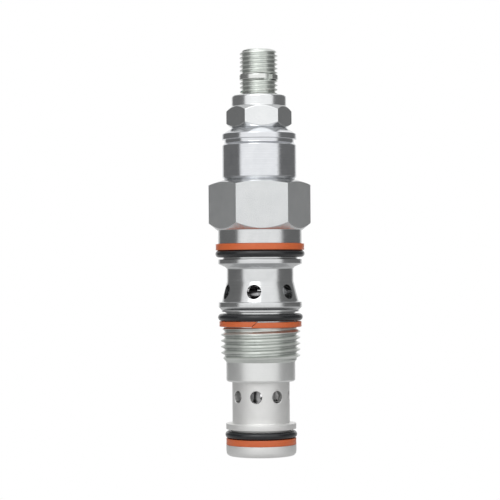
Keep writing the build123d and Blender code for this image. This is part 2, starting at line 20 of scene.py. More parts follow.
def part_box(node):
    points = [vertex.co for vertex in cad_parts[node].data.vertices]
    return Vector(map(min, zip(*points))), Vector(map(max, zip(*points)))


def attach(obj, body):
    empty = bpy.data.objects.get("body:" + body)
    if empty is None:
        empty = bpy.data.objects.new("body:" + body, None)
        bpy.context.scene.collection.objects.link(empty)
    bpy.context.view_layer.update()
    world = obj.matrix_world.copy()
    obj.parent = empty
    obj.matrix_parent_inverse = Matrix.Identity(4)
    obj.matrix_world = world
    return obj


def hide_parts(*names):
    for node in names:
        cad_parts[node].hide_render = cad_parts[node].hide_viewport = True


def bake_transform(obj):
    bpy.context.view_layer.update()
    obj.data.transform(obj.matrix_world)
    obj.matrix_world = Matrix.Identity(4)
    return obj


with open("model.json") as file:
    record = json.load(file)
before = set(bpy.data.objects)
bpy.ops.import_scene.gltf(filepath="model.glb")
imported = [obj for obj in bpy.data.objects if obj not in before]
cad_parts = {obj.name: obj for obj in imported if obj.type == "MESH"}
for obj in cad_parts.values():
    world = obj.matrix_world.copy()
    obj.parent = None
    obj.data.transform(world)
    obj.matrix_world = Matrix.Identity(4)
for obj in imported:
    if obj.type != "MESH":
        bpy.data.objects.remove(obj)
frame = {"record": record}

log = logging.getLogger("cartridge_valve")

MM = 0.001
FULL_TURN = 2 * math.pi
TURNING_STEPS = 240
SEAL_STEPS = 216
HIDDEN_STEPS = 96
SEAL_POINTS = 28
HIDDEN_POINTS = 16
ARC_STEPS = 4
MERGE_DISTANCE = 1e-5
FLAT_TOLERANCE = 1e-3
CORNER_ANGLE = math.radians(8)
THREAD_DEPTH = 0.6134
BACKUP_MOUTH = 3.0
LONGEST_ROUNDING = 0.48
SHARP_ANGLE = math.radians(31)
PIECE_SUFFIX = "_piece"

Point = tuple[float, float]
FacePicker = Callable[[bmesh.types.BMFace], bool]


# ---------------------------------------------------------------------------------------------
# Shader maths
# ---------------------------------------------------------------------------------------------


class Signal:
    """A shader socket that takes part in Python arithmetic."""

    def __init__(self, shader: "Shader", socket: bpy.types.NodeSocket) -> None:
        """Wrap a socket.

        Args:
            shader: The node tree that the socket belongs to.
            socket: An output socket that carries a number.
        """
        self.shader = shader
        self.socket = socket

    def _math(self, operation: str, *values: "Signal | float") -> "Signal":
        """Add one Math node.

        Args:
            operation: The Math node's operation.
            values: Its inputs, in order.

        Returns:
            The node's result.
        """
        inputs = dict(enumerate(values))
        return self.shader.node("ShaderNodeMath", {"operation": operation}, inputs)

    def __add__(self, other: "Signal | float") -> "Signal":
        """Sum."""
        return self._math("ADD", self, other)

    def __radd__(self, other: float) -> "Signal":
        """Sum with a number on the left."""
        return self._math("ADD", other, self)

    def __sub__(self, other: "Signal | float") -> "Signal":
        """Difference."""
        return self._math("SUBTRACT", self, other)

    def __rsub__(self, other: float) -> "Signal":
        """Difference from a number on the left."""
        return self._math("SUBTRACT", other, self)

    def __mul__(self, other: "Signal | float") -> "Signal":
        """Product."""
        return self._math("MULTIPLY", self, other)

    def __pow__(self, exponent: float) -> "Signal":
        """Power."""
        return self._math("POWER", self, exponent)

    def above(self, limit: float, softness: float) -> "Signal":
        """Soft step.

        Args:
            limit: The value where the result is one half.
            softness: Half the width of the ramp from 0 to 1.

        Returns:
            A signal from 0 below the limit to 1 above it.
        """
        settings = {"interpolation_type": "SMOOTHSTEP"}
        ranges = {"Value": self, "From Min": limit - softness, "From Max": limit + softness}
        return self.shader.node("ShaderNodeMapRange", settings, ranges)


class Shader:
    """A node tree under construction, for a material or for the world."""

    def __init__(self, tree: bpy.types.NodeTree) -> None:
        """Empty the tree.

        Args:
            tree: The node tree to build in.
        """
        self.tree = tree
        tree.nodes.clear()

    def node(
        self,
        kind: str,
        settings: dict[str, object] | None = None,
        inputs: dict[str | int, object] | None = None,
        output: str | int = 0,
    ) -> Signal:
        """Add any node.

        Args:
            kind: The node's type name.
            settings: Its properties, set before its sockets.
            inputs: Values or signals for its input sockets, by name or number.
            output: The output socket to return.

        Returns:
            That output, or the first one.
        """
        made = self.tree.nodes.new(kind)
        for name, value in (settings or {}).items():
            setattr(made, name, value)
        for key, value in (inputs or {}).items():
            if isinstance(value, Signal):
                self.tree.links.new(value.socket, made.inputs[key])
            else:
                made.inputs[key].default_value = value
        outputs = made.outputs
        return Signal(self, outputs[output] if len(outputs) else made.inputs[0])

    def place(self) -> tuple[Signal, Signal, Signal]:
        """Object coordinates in millimetres, as three numbers.

        Returns:
            X, Y and Z.
        """
        position = self.node("ShaderNodeTexCoord", output="Object")
        split = self.node("ShaderNodeSeparateXYZ", inputs={0: position})
        outputs = split.socket.node.outputs
        return tuple(Signal(self, outputs[axis]) * (1 / MM) for axis in range(3))

    def noise(
        self, at: Signal, scale: float, detail: float = 2.0, roughness: float = 0.5
    ) -> Signal:
        """Three-dimensional noise from 0 to 1."""
        inputs = {"Vector": at, "Scale": scale, "Detail": detail, "Roughness": roughness}
        return self.node("ShaderNodeTexNoise", {"noise_dimensions": "3D"}, inputs)

    def rings(self, along: Signal, scale: float, detail: float = 2.0) -> Signal:
        """One-dimensional noise from 0 to 1, as fine lines across a direction."""
        inputs = {"W": along, "Scale": scale, "Detail": detail, "Roughness": 0.6}
        return self.node("ShaderNodeTexNoise", {"noise_dimensions": "1D"}, inputs)

    def vector(self, x: Signal, y: Signal, z: Signal) -> Signal:
        """Three numbers as one vector."""
        return self.node("ShaderNodeCombineXYZ", inputs={0: x, 1: y, 2: z})

    def bump(self, height: Signal, strength: float, relief: float) -> Signal:
        """Normals of a surface with fine relief, whose greatest height is in millimetres."""
        inputs = {"Height": height, "Strength": strength, "Distance": relief * MM}
        return self.node("ShaderNodeBump", inputs=inputs)

    def blend(self, share: Signal, dark: Sequence[float], light: Sequence[float]) -> Signal:
        """Mix two colours.

        Args:
            share: 0 for the first colour, 1 for the second.
            dark: The first colour.
            light: The second colour.

        Returns:
            The mixed colour.
        """
        settings = {"data_type": "RGBA"}
        inputs = {"Factor": share, 6: (*dark, 1.0), 7: (*light, 1.0)}
        return self.node("ShaderNodeMix", settings, inputs, 2)


def new_material(name: str) -> tuple[bpy.types.Material, Shader]:
    """Start a material.

    Args:
        name: The material's name.

    Returns:
        The material and its empty node tree.
    """
    material = bpy.data.materials.new(name)
    material.use_nodes = True
    return material, Shader(material.node_tree)


# ---------------------------------------------------------------------------------------------
# Finishes
# ---------------------------------------------------------------------------------------------


class Grain(Enum):
    """Direction of the fine marks that a tool leaves in metal."""

    TURNED = "rings about the axis"
    ROLLED = "no direction"


@dataclass(frozen=True)
class MetalFinish:
    """Bare or plated steel with tool marks, clouding and fine pitting, and on threads a painted
    shade in the grooves.
    """

    name: str
    dark: tuple[float, float, float]
    light: tuple[float, float, float]
    roughness: float
    grain: Grain = Grain.TURNED
    mark_scale: float = 7.0
    mark_depth: float = 0.35
    mark_roughness: float = 0.08
    cloud_scale: float = 0.35
    cloud_roughness: float = 0.05
    pit_scale: float = 9.0
    pit_depth: float = 0.12
    relief: float = 0.02
    # The groove fields paint shade into a thread's grooves: the base colour darkens below
    # groove_radius.
    groove_radius: float = 0.0
    painted_groove_shade: float = 0.0
    groove_blur: float = 0.3
    mark_tone: float = 0.45
    cloud_tone: float = 0.4
    pit_tone: float = 0.15
    bump_strength: float = 0.6

    def marks(self, shader: Shader) -> Signal:
        """Tool marks from 0 to 1.

        Args:
            shader: The node tree to build in.

        Returns:
            Lines or specks in the direction of the grain.
        """
        x, y, z = shader.place()
        if self.grain is Grain.TURNED:
            radius = (x * x + y * y) ** 0.5
            return shader.rings(z + radius, self.mark_scale, 3.0)
        return shader.noise(shader.vector(x, y, z), self.mark_scale, 3.0)

    def material(self) -> bpy.types.Material:
        """Build the material.

        Returns:
            The finished material.
        """
        material, shader = new_material(self.name)
        x, y, z = shader.place()
        here = shader.vector(x, y, z)
        marks = self.marks(shader)
        clouds = shader.noise(here, self.cloud_scale, 4.0)
        pits = shader.noise(here, self.pit_scale, 2.0)
        tone = marks * self.mark_tone + clouds * self.cloud_tone + pits * self.pit_tone
        # Painted shade: the base colour is darker in the thread grooves, below groove_radius.
        if self.groove_radius:
            radius = (x * x + y * y) ** 0.5
            in_groove = 1 - radius.above(self.groove_radius, self.groove_blur)
            tone = tone - in_groove * self.painted_groove_shade
        height = marks * self.mark_depth + pits * self.pit_depth
        roughness = (
            self.roughness
            + (marks - 0.5) * self.mark_roughness
            + (clouds - 0.5) * self.cloud_roughness
        )
        bump = shader.bump(height, self.bump_strength, self.relief)
        surface = shader.node(
            "ShaderNodeBsdfPrincipled",
            inputs={
                "Base Color": shader.blend(tone, self.dark, self.light),
                "Metallic": 1.0,
                "Roughness": roughness,
                "Normal": bump,
            },
        )
        shader.node("ShaderNodeOutputMaterial", inputs={"Surface": surface})
        return material


@dataclass(frozen=True)
class PolymerFinish:
    """Rubber or plastic with a moulded skin, faint mottling and specks of dust."""

    name: str
    dark: tuple[float, float, float]
    light: tuple[float, float, float]
    roughness: float
    skin_scale: float = 5.0
    skin_depth: float = 0.2
    skin_roughness: float = 0.12
    dust: tuple[float, float, float] = (0.5, 0.5, 0.5)
    dust_share: float = 0.0
    dust_scale: float = 11.0
    dust_level: float = 0.72
    dust_blur: float = 0.03
    dust_roughness: float = 0.3
    mottle_scale: float = 0.8
    mottle_tone: float = 0.7
    skin_tone: float = 0.3
    bump_strength: float = 0.5
    relief: float = 0.03
    subsurface: float = 0.0
    subsurface_scale: float = 0.0006

    def material(self) -> bpy.types.Material:
        """Build the material.

        Returns:
            The finished material.
        """
        material, shader = new_material(self.name)
        here = shader.vector(*shader.place())
        skin = shader.noise(here, self.skin_scale, 3.0)
        mottle = shader.noise(here, self.mottle_scale, 3.0)
        grit = shader.noise(here, self.dust_scale, 1.0)
        specks = grit.above(self.dust_level, self.dust_blur) * self.dust_share
        tone = mottle * self.mottle_tone + skin * self.skin_tone
        colour = shader.blend(tone, self.dark, self.light)
        roughness = self.roughness + (skin - 0.5) * self.skin_roughness
        dusted = shader.node(
            "ShaderNodeMix",
            {"data_type": "RGBA"},
            {"Factor": specks, 6: colour, 7: (*self.dust, 1.0)},
            2,
        )
        bump = shader.bump(skin * self.skin_depth, self.bump_strength, self.relief)
        surface = shader.node(
            "ShaderNodeBsdfPrincipled",
            inputs={
                "Base Color": dusted,
                "Roughness": roughness + specks * self.dust_roughness,
                "Subsurface Weight": self.subsurface,
                "Subsurface Scale": self.subsurface_scale,
                "Normal": bump,
            },
        )
        shader.node("ShaderNodeOutputMaterial", inputs={"Surface": surface})
        return material


class Palette:
    """Every finish of the valve, made once and shared by its pieces."""

    def __init__(self) -> None:
        """Build all materials."""
        self.turned_zinc = MetalFinish(
            "turned_zinc",
            (0.50, 0.51, 0.52),
            (0.82, 0.83, 0.83),
            0.20,
            mark_depth=0.6,
            relief=0.035,
        ).material()
        self.bright_zinc = MetalFinish(
            "bright_zinc", (0.48, 0.50, 0.54), (0.96, 0.97, 0.98), 0.13, mark_depth=0.5, relief=0.05
        ).material()
        self.hexagon_zinc = MetalFinish(
            "hexagon_zinc",
            (0.56, 0.58, 0.59),
            (0.82, 0.83, 0.83),
            0.40,
            Grain.ROLLED,
            mark_scale=4.5,
            mark_depth=1.0,
            pit_depth=1.0,
            mark_roughness=0.2,
            relief=0.13,
        ).material()
        thread_tones = (0.60, 0.63, 0.60), (0.98, 1.0, 0.97)
        # Both thread finishes carry painted shade in their grooves.
        self.body_thread = MetalFinish(
            "body_thread", *thread_tones, 0.32, Grain.ROLLED, groove_radius=9.4, painted_groove_shade=0.35
        ).material()
        self.screw_thread = MetalFinish(
            "screw_thread", *thread_tones, 0.32, Grain.ROLLED, groove_radius=4.35, painted_groove_shade=0.3
        ).material()
        # Very dark metal laid over bores and port walls: painted shade inside the valve.
        self.painted_shade_bore = MetalFinish(
            "painted_shade_bore", (0.07, 0.07, 0.07), (0.17, 0.17, 0.17), 0.5
        ).material()
        self.nut_zinc = MetalFinish(
            "nut_zinc",
            (0.66, 0.68, 0.69),
            (0.90, 0.91, 0.91),
            0.22,
            Grain.ROLLED,
            mark_scale=3.0,
            pit_depth=0.3,
        ).material()
        self.satin_sleeve = MetalFinish(
            "satin_sleeve",
            (0.70, 0.70, 0.69),
            (0.96, 0.96, 0.95),
            0.58,
            mark_scale=9.0,
            mark_depth=0.6,
            mark_roughness=0.14,
        ).material()
        self.satin_collar = MetalFinish(
            "satin_collar", (0.72, 0.73, 0.72), (0.97, 0.98, 0.97), 0.38, mark_depth=0.5
        ).material()
        self.ground_steel = MetalFinish(
            "ground_steel", (0.30, 0.30, 0.31), (0.50, 0.50, 0.50), 0.3
        ).material()
        self.spring_wire = MetalFinish(
            "spring_wire", (0.42, 0.42, 0.43), (0.62, 0.62, 0.62), 0.45, Grain.ROLLED
        ).material()
        self.ring_steel = MetalFinish(
            "ring_steel", (0.60, 0.62, 0.60), (0.90, 0.91, 0.89), 0.24, Grain.ROLLED
        ).material()
        self.black_rubber = PolymerFinish(
            "black_rubber",
            (0.008, 0.009, 0.010),
            (0.022, 0.024, 0.027),
            0.24,
            dust=(0.20, 0.20, 0.20),
            dust_share=0.15,
        ).material()
        self.orange_backup = PolymerFinish(
            "orange_backup",
            (0.56, 0.105, 0.030),
            (0.70, 0.165, 0.050),
            0.38,
            subsurface=0.08,
        ).material()
        self.nylon = PolymerFinish(
            "nylon", (0.70, 0.69, 0.62), (0.82, 0.81, 0.75), 0.45, subsurface=0.15
        ).material()


# ---------------------------------------------------------------------------------------------
# Shapes
# ---------------------------------------------------------------------------------------------


@dataclass
class Outline:
    """Half section of a turned piece, as corners in millimetres."""

    corners: list[tuple[float, float, float]] = field(default_factory=list)

    def to(self, radius: float, height: float, rounding: float = 0.0) -> "Outline":
        """Add a corner.

        Args:
            radius: Distance from the valve's axis.
            height: Height along the axis.
            rounding: How far along each side the corner's rounding starts.

        Returns:
            The outline itself, so that corners can be chained.
        """
        self.corners.append((radius, height, rounding))
        return self

    def points(self, closed: bool = True) -> list[Point]:
        """The corners, with a curve in place of each rounded one.

        Args:
            closed: Whether the last corner joins the first.

        Returns:
            Points in order round the outline.
        """
        found: list[Point] = []
        count = len(self.corners)
        for index, (radius, height, rounding) in enumerate(self.corners):
            corner = Vector((radius, height))
            is_end = not closed and index in (0, count - 1)
            if rounding <= 0 or is_end:
                found.append((radius, height))
                continue
            before = Vector(self.corners[index - 1][:2]) - corner
            after = Vector(self.corners[(index + 1) % count][:2]) - corner
            reach = min(rounding, *(LONGEST_ROUNDING * side.length for side in (before, after)))
            start = corner + before.normalized() * reach
            end = corner + after.normalized() * reach
            for step in range(ARC_STEPS + 1):
                share = step / ARC_STEPS
                first = start.lerp(corner, share)
                second = corner.lerp(end, share)
                found.append(tuple(first.lerp(second, share)))
        return found


def ring_outline(
    inner: float, outer: float, low: float, high: float, rounding: float = 0.1
) -> Outline:
    """Rectangular section between two radii and two heights, with rounded corners."""
    outline = Outline().to(inner, low, rounding).to(outer, low, rounding)
    return outline.to(outer, high, rounding).to(inner, high, rounding)


def tidy_shell(shell: bmesh.types.BMesh) -> bmesh.types.BMesh:
    """Merge doubles, close open ends and point the faces outwards.

    Args:
        shell: The shell to tidy.

    Returns:
        The same shell.
    """
    bmesh.ops.remove_doubles(shell, verts=shell.verts, dist=MERGE_DISTANCE)
    bmesh.ops.dissolve_degenerate(shell, edges=shell.edges, dist=MERGE_DISTANCE)
    open_edges = [edge for edge in shell.edges if edge.is_boundary]
    if open_edges:
        bmesh.ops.holes_fill(shell, edges=open_edges, sides=0)
    bmesh.ops.recalc_face_normals(shell, faces=shell.faces)
    return shell


def spin(
    shell: bmesh.types.BMesh,
    geometry: Sequence[object],
    rise: float,
    angle: float,
    steps: int,
    merge: bool = False,
) -> Sequence[object]:
    """Sweep edges about Z.

    Args:
        shell: The shell that they belong to.
        geometry: Their vertices and edges.
        rise: Rise of one step.
        angle: Angle to sweep, in radians.
        steps: Segments in the sweep.
        merge: Whether the last section joins the first.

    Returns:
        The last section.
    """
    swept = bmesh.ops.spin(
        shell,
        geom=geometry,
        cent=(0, 0, 0),
        axis=(0, 0, 1),
        dvec=(0, 0, rise),
        angle=angle,
        steps=steps,
        use_merge=merge,
        use_normal_flip=False,
        use_duplicate=False,
    )
    return swept["geom_last"]


def slice_off(shell: bmesh.types.BMesh, point: Sequence[float], facing: Sequence[float]) -> None:
    """Remove what lies beyond a plane.

    Args:
        shell: The shell to cut.
        point: A point of the plane.
        facing: Direction of the side that goes.
    """
    bmesh.ops.bisect_plane(
        shell,
        geom=[*shell.verts, *shell.edges, *shell.faces],
        dist=MERGE_DISTANCE,
        plane_co=point,
        plane_no=facing,
        clear_outer=True,
    )


def slice_between(shell: bmesh.types.BMesh, low: float, high: float) -> None:
    """Remove what lies below one height or above another."""
    slice_off(shell, (0, 0, low), (0, 0, -1))
    slice_off(shell, (0, 0, high), (0, 0, 1))


def turn(
    outline: Outline,
    steps: int = TURNING_STEPS,
    sweep: float = FULL_TURN,
    start: float = 0.0,
    rise: float = 0.0,
) -> bmesh.types.BMesh:
    """Spin a closed outline about Z.

    Args:
        outline: The half section.
        steps: Segments in the sweep.
        sweep: Angle to sweep, in radians.
        start: Angle of the first section, in radians from +X.
        rise: How far the last section stands above the first.

    Returns:
        A closed shell in millimetres.
    """
    shell = bmesh.new()
    verts = [shell.verts.new((radius, 0, height)) for radius, height in outline.points()]
    pairs = zip(verts, verts[1:] + verts[:1])
    edges = [shell.edges.new(pair) for pair in pairs if pair[0].co.x > 0 or pair[1].co.x > 0]
    is_ring = sweep == FULL_TURN and rise == 0.0
    spin(shell, verts + edges, rise / steps, sweep, steps, is_ring)
    shell.transform(Matrix.Rotation(start, 4, "Z"))
    return tidy_shell(shell)


def thread(
    root: float,
    crest: float,
    pitch: float,
    low: float,
    high: float,
    limit: Callable[[float], float],
    steps: int = 120,
) -> bmesh.types.BMesh:
    """Right-hand helical thread as a closed shell.

    Args:
        root: Radius between the ridges.
        crest: Radius over the ridges.
        pitch: Rise of one turn.
        low: Height of its lower end.
        high: Height of its upper end.
        limit: Largest radius at a height, for the tapered ends.
        steps: Segments in one turn.

    Returns:
        The threaded bar in millimetres.
    """
    tooth = Outline().to(root, 0)
    tooth.to(root, pitch * 0.12, pitch * 0.08).to(crest, pitch * 0.44, pitch * 0.05)
    tooth.to(crest, pitch * 0.56, pitch * 0.05).to(root, pitch * 0.88, pitch * 0.08)
    tooth.to(root, pitch)
    turns = math.ceil((high - low) / pitch) + 2
    shell = bmesh.new()
    base = low - 1.5 * pitch
    points = tooth.points(closed=False)
    verts = [shell.verts.new((radius, 0, base + height)) for radius, height in points]
    edges = [shell.edges.new(pair) for pair in zip(verts, verts[1:])]
    spin(shell, verts + edges, pitch / steps, FULL_TURN, steps)
    first_turn = [*shell.verts, *shell.edges, *shell.faces]
    for turn_number in range(1, turns):
        copied = bmesh.ops.duplicate(shell, geom=first_turn)["geom"]
        risen = [item for item in copied if isinstance(item, bmesh.types.BMVert)]
        bmesh.ops.translate(shell, verts=risen, vec=(0, 0, pitch * turn_number))
    bmesh.ops.remove_doubles(shell, verts=shell.verts, dist=pitch * 1e-3)
    slice_between(shell, low, high)
    for vert in shell.verts:
        radius = math.hypot(vert.co.x, vert.co.y)
        allowed = limit(vert.co.z)
        if radius > allowed:
            vert.co.x *= allowed / radius
            vert.co.y *= allowed / radius
    return tidy_shell(shell)


def cut_flats(
    shell: bmesh.types.BMesh, across: float, turn_angle: float, edge: float
) -> bmesh.types.BMesh:
    """Mill six flats on a turned head and ease their edges.

    Args:
        shell: The turned shell, wider than the hexagon where the flats are wanted.
        across: Size across flats.
        turn_angle: Turn of the hexagon about Z, in radians. At 0 a flat faces -Y.
        edge: Width of the eased edges.

    Returns:
        The same shell, closed again.
    """
    for side in range(6):
        angle = turn_angle + math.radians(30 + 60 * side)
        normal = Vector((math.cos(angle), math.sin(angle), 0))
        slice_off(shell, normal * across / 2, normal)
        open_edges = [item for item in shell.edges if item.is_boundary]
        bmesh.ops.holes_fill(shell, edges=open_edges, sides=0)
    bmesh.ops.recalc_face_normals(shell, faces=shell.faces)
    reach = across / 2 - FLAT_TOLERANCE
    sharp = [
        item
        for item in shell.edges
        if item.calc_face_angle(0) > CORNER_ANGLE
        and all(math.hypot(vert.co.x, vert.co.y) > reach for vert in item.verts)
        and any(is_flat_side(face, across) for face in item.link_faces)
    ]
    bmesh.ops.bevel(
        shell,
        geom=sharp,
        offset=edge,
        offset_type="OFFSET",
        affect="EDGES",
        segments=2,
        profile=0.5,
        material=-1,
        clamp_overlap=True,
    )
    return tidy_shell(shell)


def is_flat_side(face: bmesh.types.BMFace, across: float) -> bool:
    """Whether a face is one of the flats of a hexagon of that size.

    Args:
        face: The face to test.
        across: Size across flats.

    Returns:
        True for a flat.
    """
    middle = face.calc_center_median()
    depth = Vector((middle.x, middle.y, 0)).dot(face.normal)
    return max(abs(face.normal.z), abs(depth - across / 2)) < FLAT_TOLERANCE


def radial_drills(
    outline: Outline, count: int, height: float, first: float, steps: int = 40
) -> bmesh.types.BMesh:
    """Cutters that stand round the axis like spokes.

    Args:
        outline: Half section of one cutter, whose heights become distances from the valve's axis.
        count: Number of cutters.
        height: Height of their centres.
        first: Direction of the first one, in radians.
        steps: Segments round each cutter.

    Returns:
        All cutters as one shell.
    """
    drills = bmesh.new()
    for index in range(count):
        one = turn(outline, steps)
        lay_down = Matrix.Rotation(math.radians(90), 4, "Y")
        aim = Matrix.Rotation(first + FULL_TURN * index / count, 4, "Z")
        one.transform(Matrix.Translation((0, 0, height)) @ aim @ lay_down)
        part = bpy.data.meshes.new("drill")
        one.to_mesh(part)
        drills.from_mesh(part)
        bpy.data.meshes.remove(part)
        one.free()
    return drills


class Carve(Enum):
    """How one shell acts on another."""

    CUT = "DIFFERENCE"
    JOIN = "UNION"


def carve(
    base: bmesh.types.BMesh, tool: bmesh.types.BMesh, how: Carve
) -> bmesh.types.BMesh:
    """Cut one shell with another, or join the two.

    Args:
        base: The shell to work on. It is used up.
        tool: The other shell. It is used up.
        how: Cut or join.

    Returns:
        The resulting shell.
    """
    holders = []
    for shell in (base, tool):
        mesh = bpy.data.meshes.new("carving")
        shell.to_mesh(mesh)
        shell.free()
        holder = bpy.data.objects.new("carving", mesh)
        bpy.context.scene.collection.objects.link(holder)
        holders.append(holder)
    modifier = holders[0].modifiers.new("carve", "BOOLEAN")
    modifier.operation = how.value
    modifier.solver = "EXACT"
    modifier.object = holders[1]
    result = bmesh.new()
    result.from_object(holders[0], bpy.context.evaluated_depsgraph_get())
    for holder in holders:
        mesh = holder.data
        bpy.data.objects.remove(holder)
        bpy.data.meshes.remove(mesh)
    bmesh.ops.remove_doubles(result, verts=result.verts, dist=MERGE_DISTANCE)
    return result


# ---------------------------------------------------------------------------------------------
# Handing pieces over to the frame
# ---------------------------------------------------------------------------------------------


@cache
def low_high(node: str) -> tuple[Vector, Vector]:
    """A CAD node's lowest and highest corners, in millimetres."""
    low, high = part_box(node)
    return low / MM, high / MM


def outer_radius(node: str) -> float:
    """Largest radius of a round CAD node, in millimetres."""
    low, high = low_high(node)
    return max(high.x, high.y, -low.x, -low.y)


def round_section(node: str, points: int) -> Outline:
    """Round section that fills the box of a ring.

    Args:
        node: The ring's CAD node.
        points: Corners round the section.

    Returns:
        The half section.
    """
    low, high = low_high(node)
    outer = outer_radius(node)
    radius = (high.z - low.z) / 2
    outline = Outline()
    for index in range(points):
        angle = FULL_TURN * index / points
        outline.to(
            outer - radius + radius * math.cos(angle),
            (high.z + low.z) / 2 + radius * math.sin(angle),
        )
    return outline


@dataclass
class Coat:
    """One material and the faces that it covers."""

    material: bpy.types.Material
    covers: FacePicker | None = None


@dataclass(frozen=True)
class Stretch:
    """Two bodies that a springy piece is meant to hang between, and the heights of its ends in
    millimetres; nothing reads them, and the piece stays unattached.
    """

    lower_body: str
    upper_body: str
    low: float
    high: float


class Workshop:
    """Turns finished shells into pieces that ride on the frame."""

    def __init__(self, record: dict) -> None:
        """Read which body and slot each node has.

        Args:
            record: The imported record.
        """
        bodies = record["behaviour"]["bodies"]
        self.body_of = {node: body for body, nodes in bodies.items() for node in nodes}
        self.slot_of = {row["node"]: row["material_slot"] for row in record["subparts"]}

    def hand_over(
        self,
        node: str,
        shell: bmesh.types.BMesh,
        coats: Iterable[Coat],
        smooth: float = SHARP_ANGLE,
        stretch: Stretch | None = None,
        part: str = "",
    ) -> bpy.types.Object:
        """Make the piece that stands for a CAD node.

        Args:
            node: The CAD node's name.
            shell: Its finished shape in millimetres. It is used up.
            coats: Its materials, the main one first.
            smooth: Edges that turn by more than this stay sharp, in radians.
            stretch: Given for a piece that stretches between two bodies; such a piece keeps its
                place unattached, and the bodies and heights in it are not read.
            part: A word for the piece's name, where a node has more than one.

        Returns:
            The piece, riding on the node's body unless a stretch is given.
        """
        coats = list(coats)
        for face in shell.faces:
            for index, coat in enumerate(coats):
                if coat.covers is not None and coat.covers(face):
                    face.material_index = index
        shell.transform(Matrix.Scale(MM, 4))
        name = node + part + PIECE_SUFFIX
        mesh = bpy.data.meshes.new(name)
        shell.to_mesh(mesh)
        shell.free()
        for coat in coats:
            mesh.materials.append(coat.material)
        mesh.shade_smooth()
        mesh.set_sharp_from_angle(angle=smooth)
        piece = bpy.data.objects.new(name, mesh)
        bpy.context.scene.collection.objects.link(piece)
        if stretch:
            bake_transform(piece)
        else:
            normals = piece.modifiers.new("even_shading", "WEIGHTED_NORMAL")
            normals.keep_sharp = True
            normals.weight = 90
            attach(piece, self.body_of[node])
        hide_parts(node)
        log.info("%s: %d faces", piece.name, len(mesh.polygons))
        return piece


# ---------------------------------------------------------------------------------------------
# Sub-assemblies
# ---------------------------------------------------------------------------------------------


@dataclass
class SealGroove:
    """A groove with its O-ring and backup ring, read from the frame."""

    o_ring: str
    backup: str
    slit: float
    drift: float = 0.0
    section: float = 1.78
    width: float = 3.9
    wall_gap: float = 0.03
    edge: float = 0.12
    slit_width: float = 0.22
    slant: float = math.radians(50)

    @property
    def floor(self) -> float:
        """Radius of the groove's floor."""
        return outer_radius(self.o_ring) - self.section

    @property
    def ends(self) -> tuple[float, float]:
        """Lower and upper heights of the groove.

        Returns:
            Both heights in millimetres.
        """
        ring_low, ring_high = low_high(self.backup)
        seal_low, _ = low_high(self.o_ring)
        if ring_low.z > seal_low.z:
            top = ring_high.z + self.wall_gap
            return top - self.width, top
        bottom = ring_low.z - self.wall_gap
        return bottom, bottom + self.width

    def o_ring_shell(self) -> bmesh.types.BMesh:
        """Round-section ring."""
        return turn(round_section(self.o_ring, SEAL_POINTS), SEAL_STEPS)

    def backup_shell(self) -> bmesh.types.BMesh:
        """Flat ring, slit at a slant, with one end standing a little above the other.

        Returns:
            The ring in millimetres.
        """
        low, high = low_high(self.backup)
        outer = outer_radius(self.backup)
        outline = ring_outline(
            self.floor + self.wall_gap, outer, low.z, high.z - abs(self.drift), self.edge
        )
        gap = self.slit_width / outer
        ring = turn(
            outline, SEAL_STEPS, FULL_TURN - gap, math.radians(self.slit) + gap / 2, self.drift
        )
        if self.drift < 0:
            ring.transform(Matrix.Translation((0, 0, -self.drift)))
        middle = (low.z + high.z) / 2
        lean = math.tan(self.slant) / outer
        for vert in ring.verts:
            twist = Matrix.Rotation((vert.co.z - middle) * lean, 3, "Z")
            vert.co = twist @ vert.co
        return ring

    def build(self, shop: Workshop, palette: Palette) -> None:
        """Make both rings.

        Args:
            shop: Hands the pieces over.
            palette: The valve's finishes.
        """
        shop.hand_over(self.o_ring, self.o_ring_shell(), [Coat(palette.black_rubber)])
        shop.hand_over(self.backup, self.backup_shell(), [Coat(palette.orange_backup)])


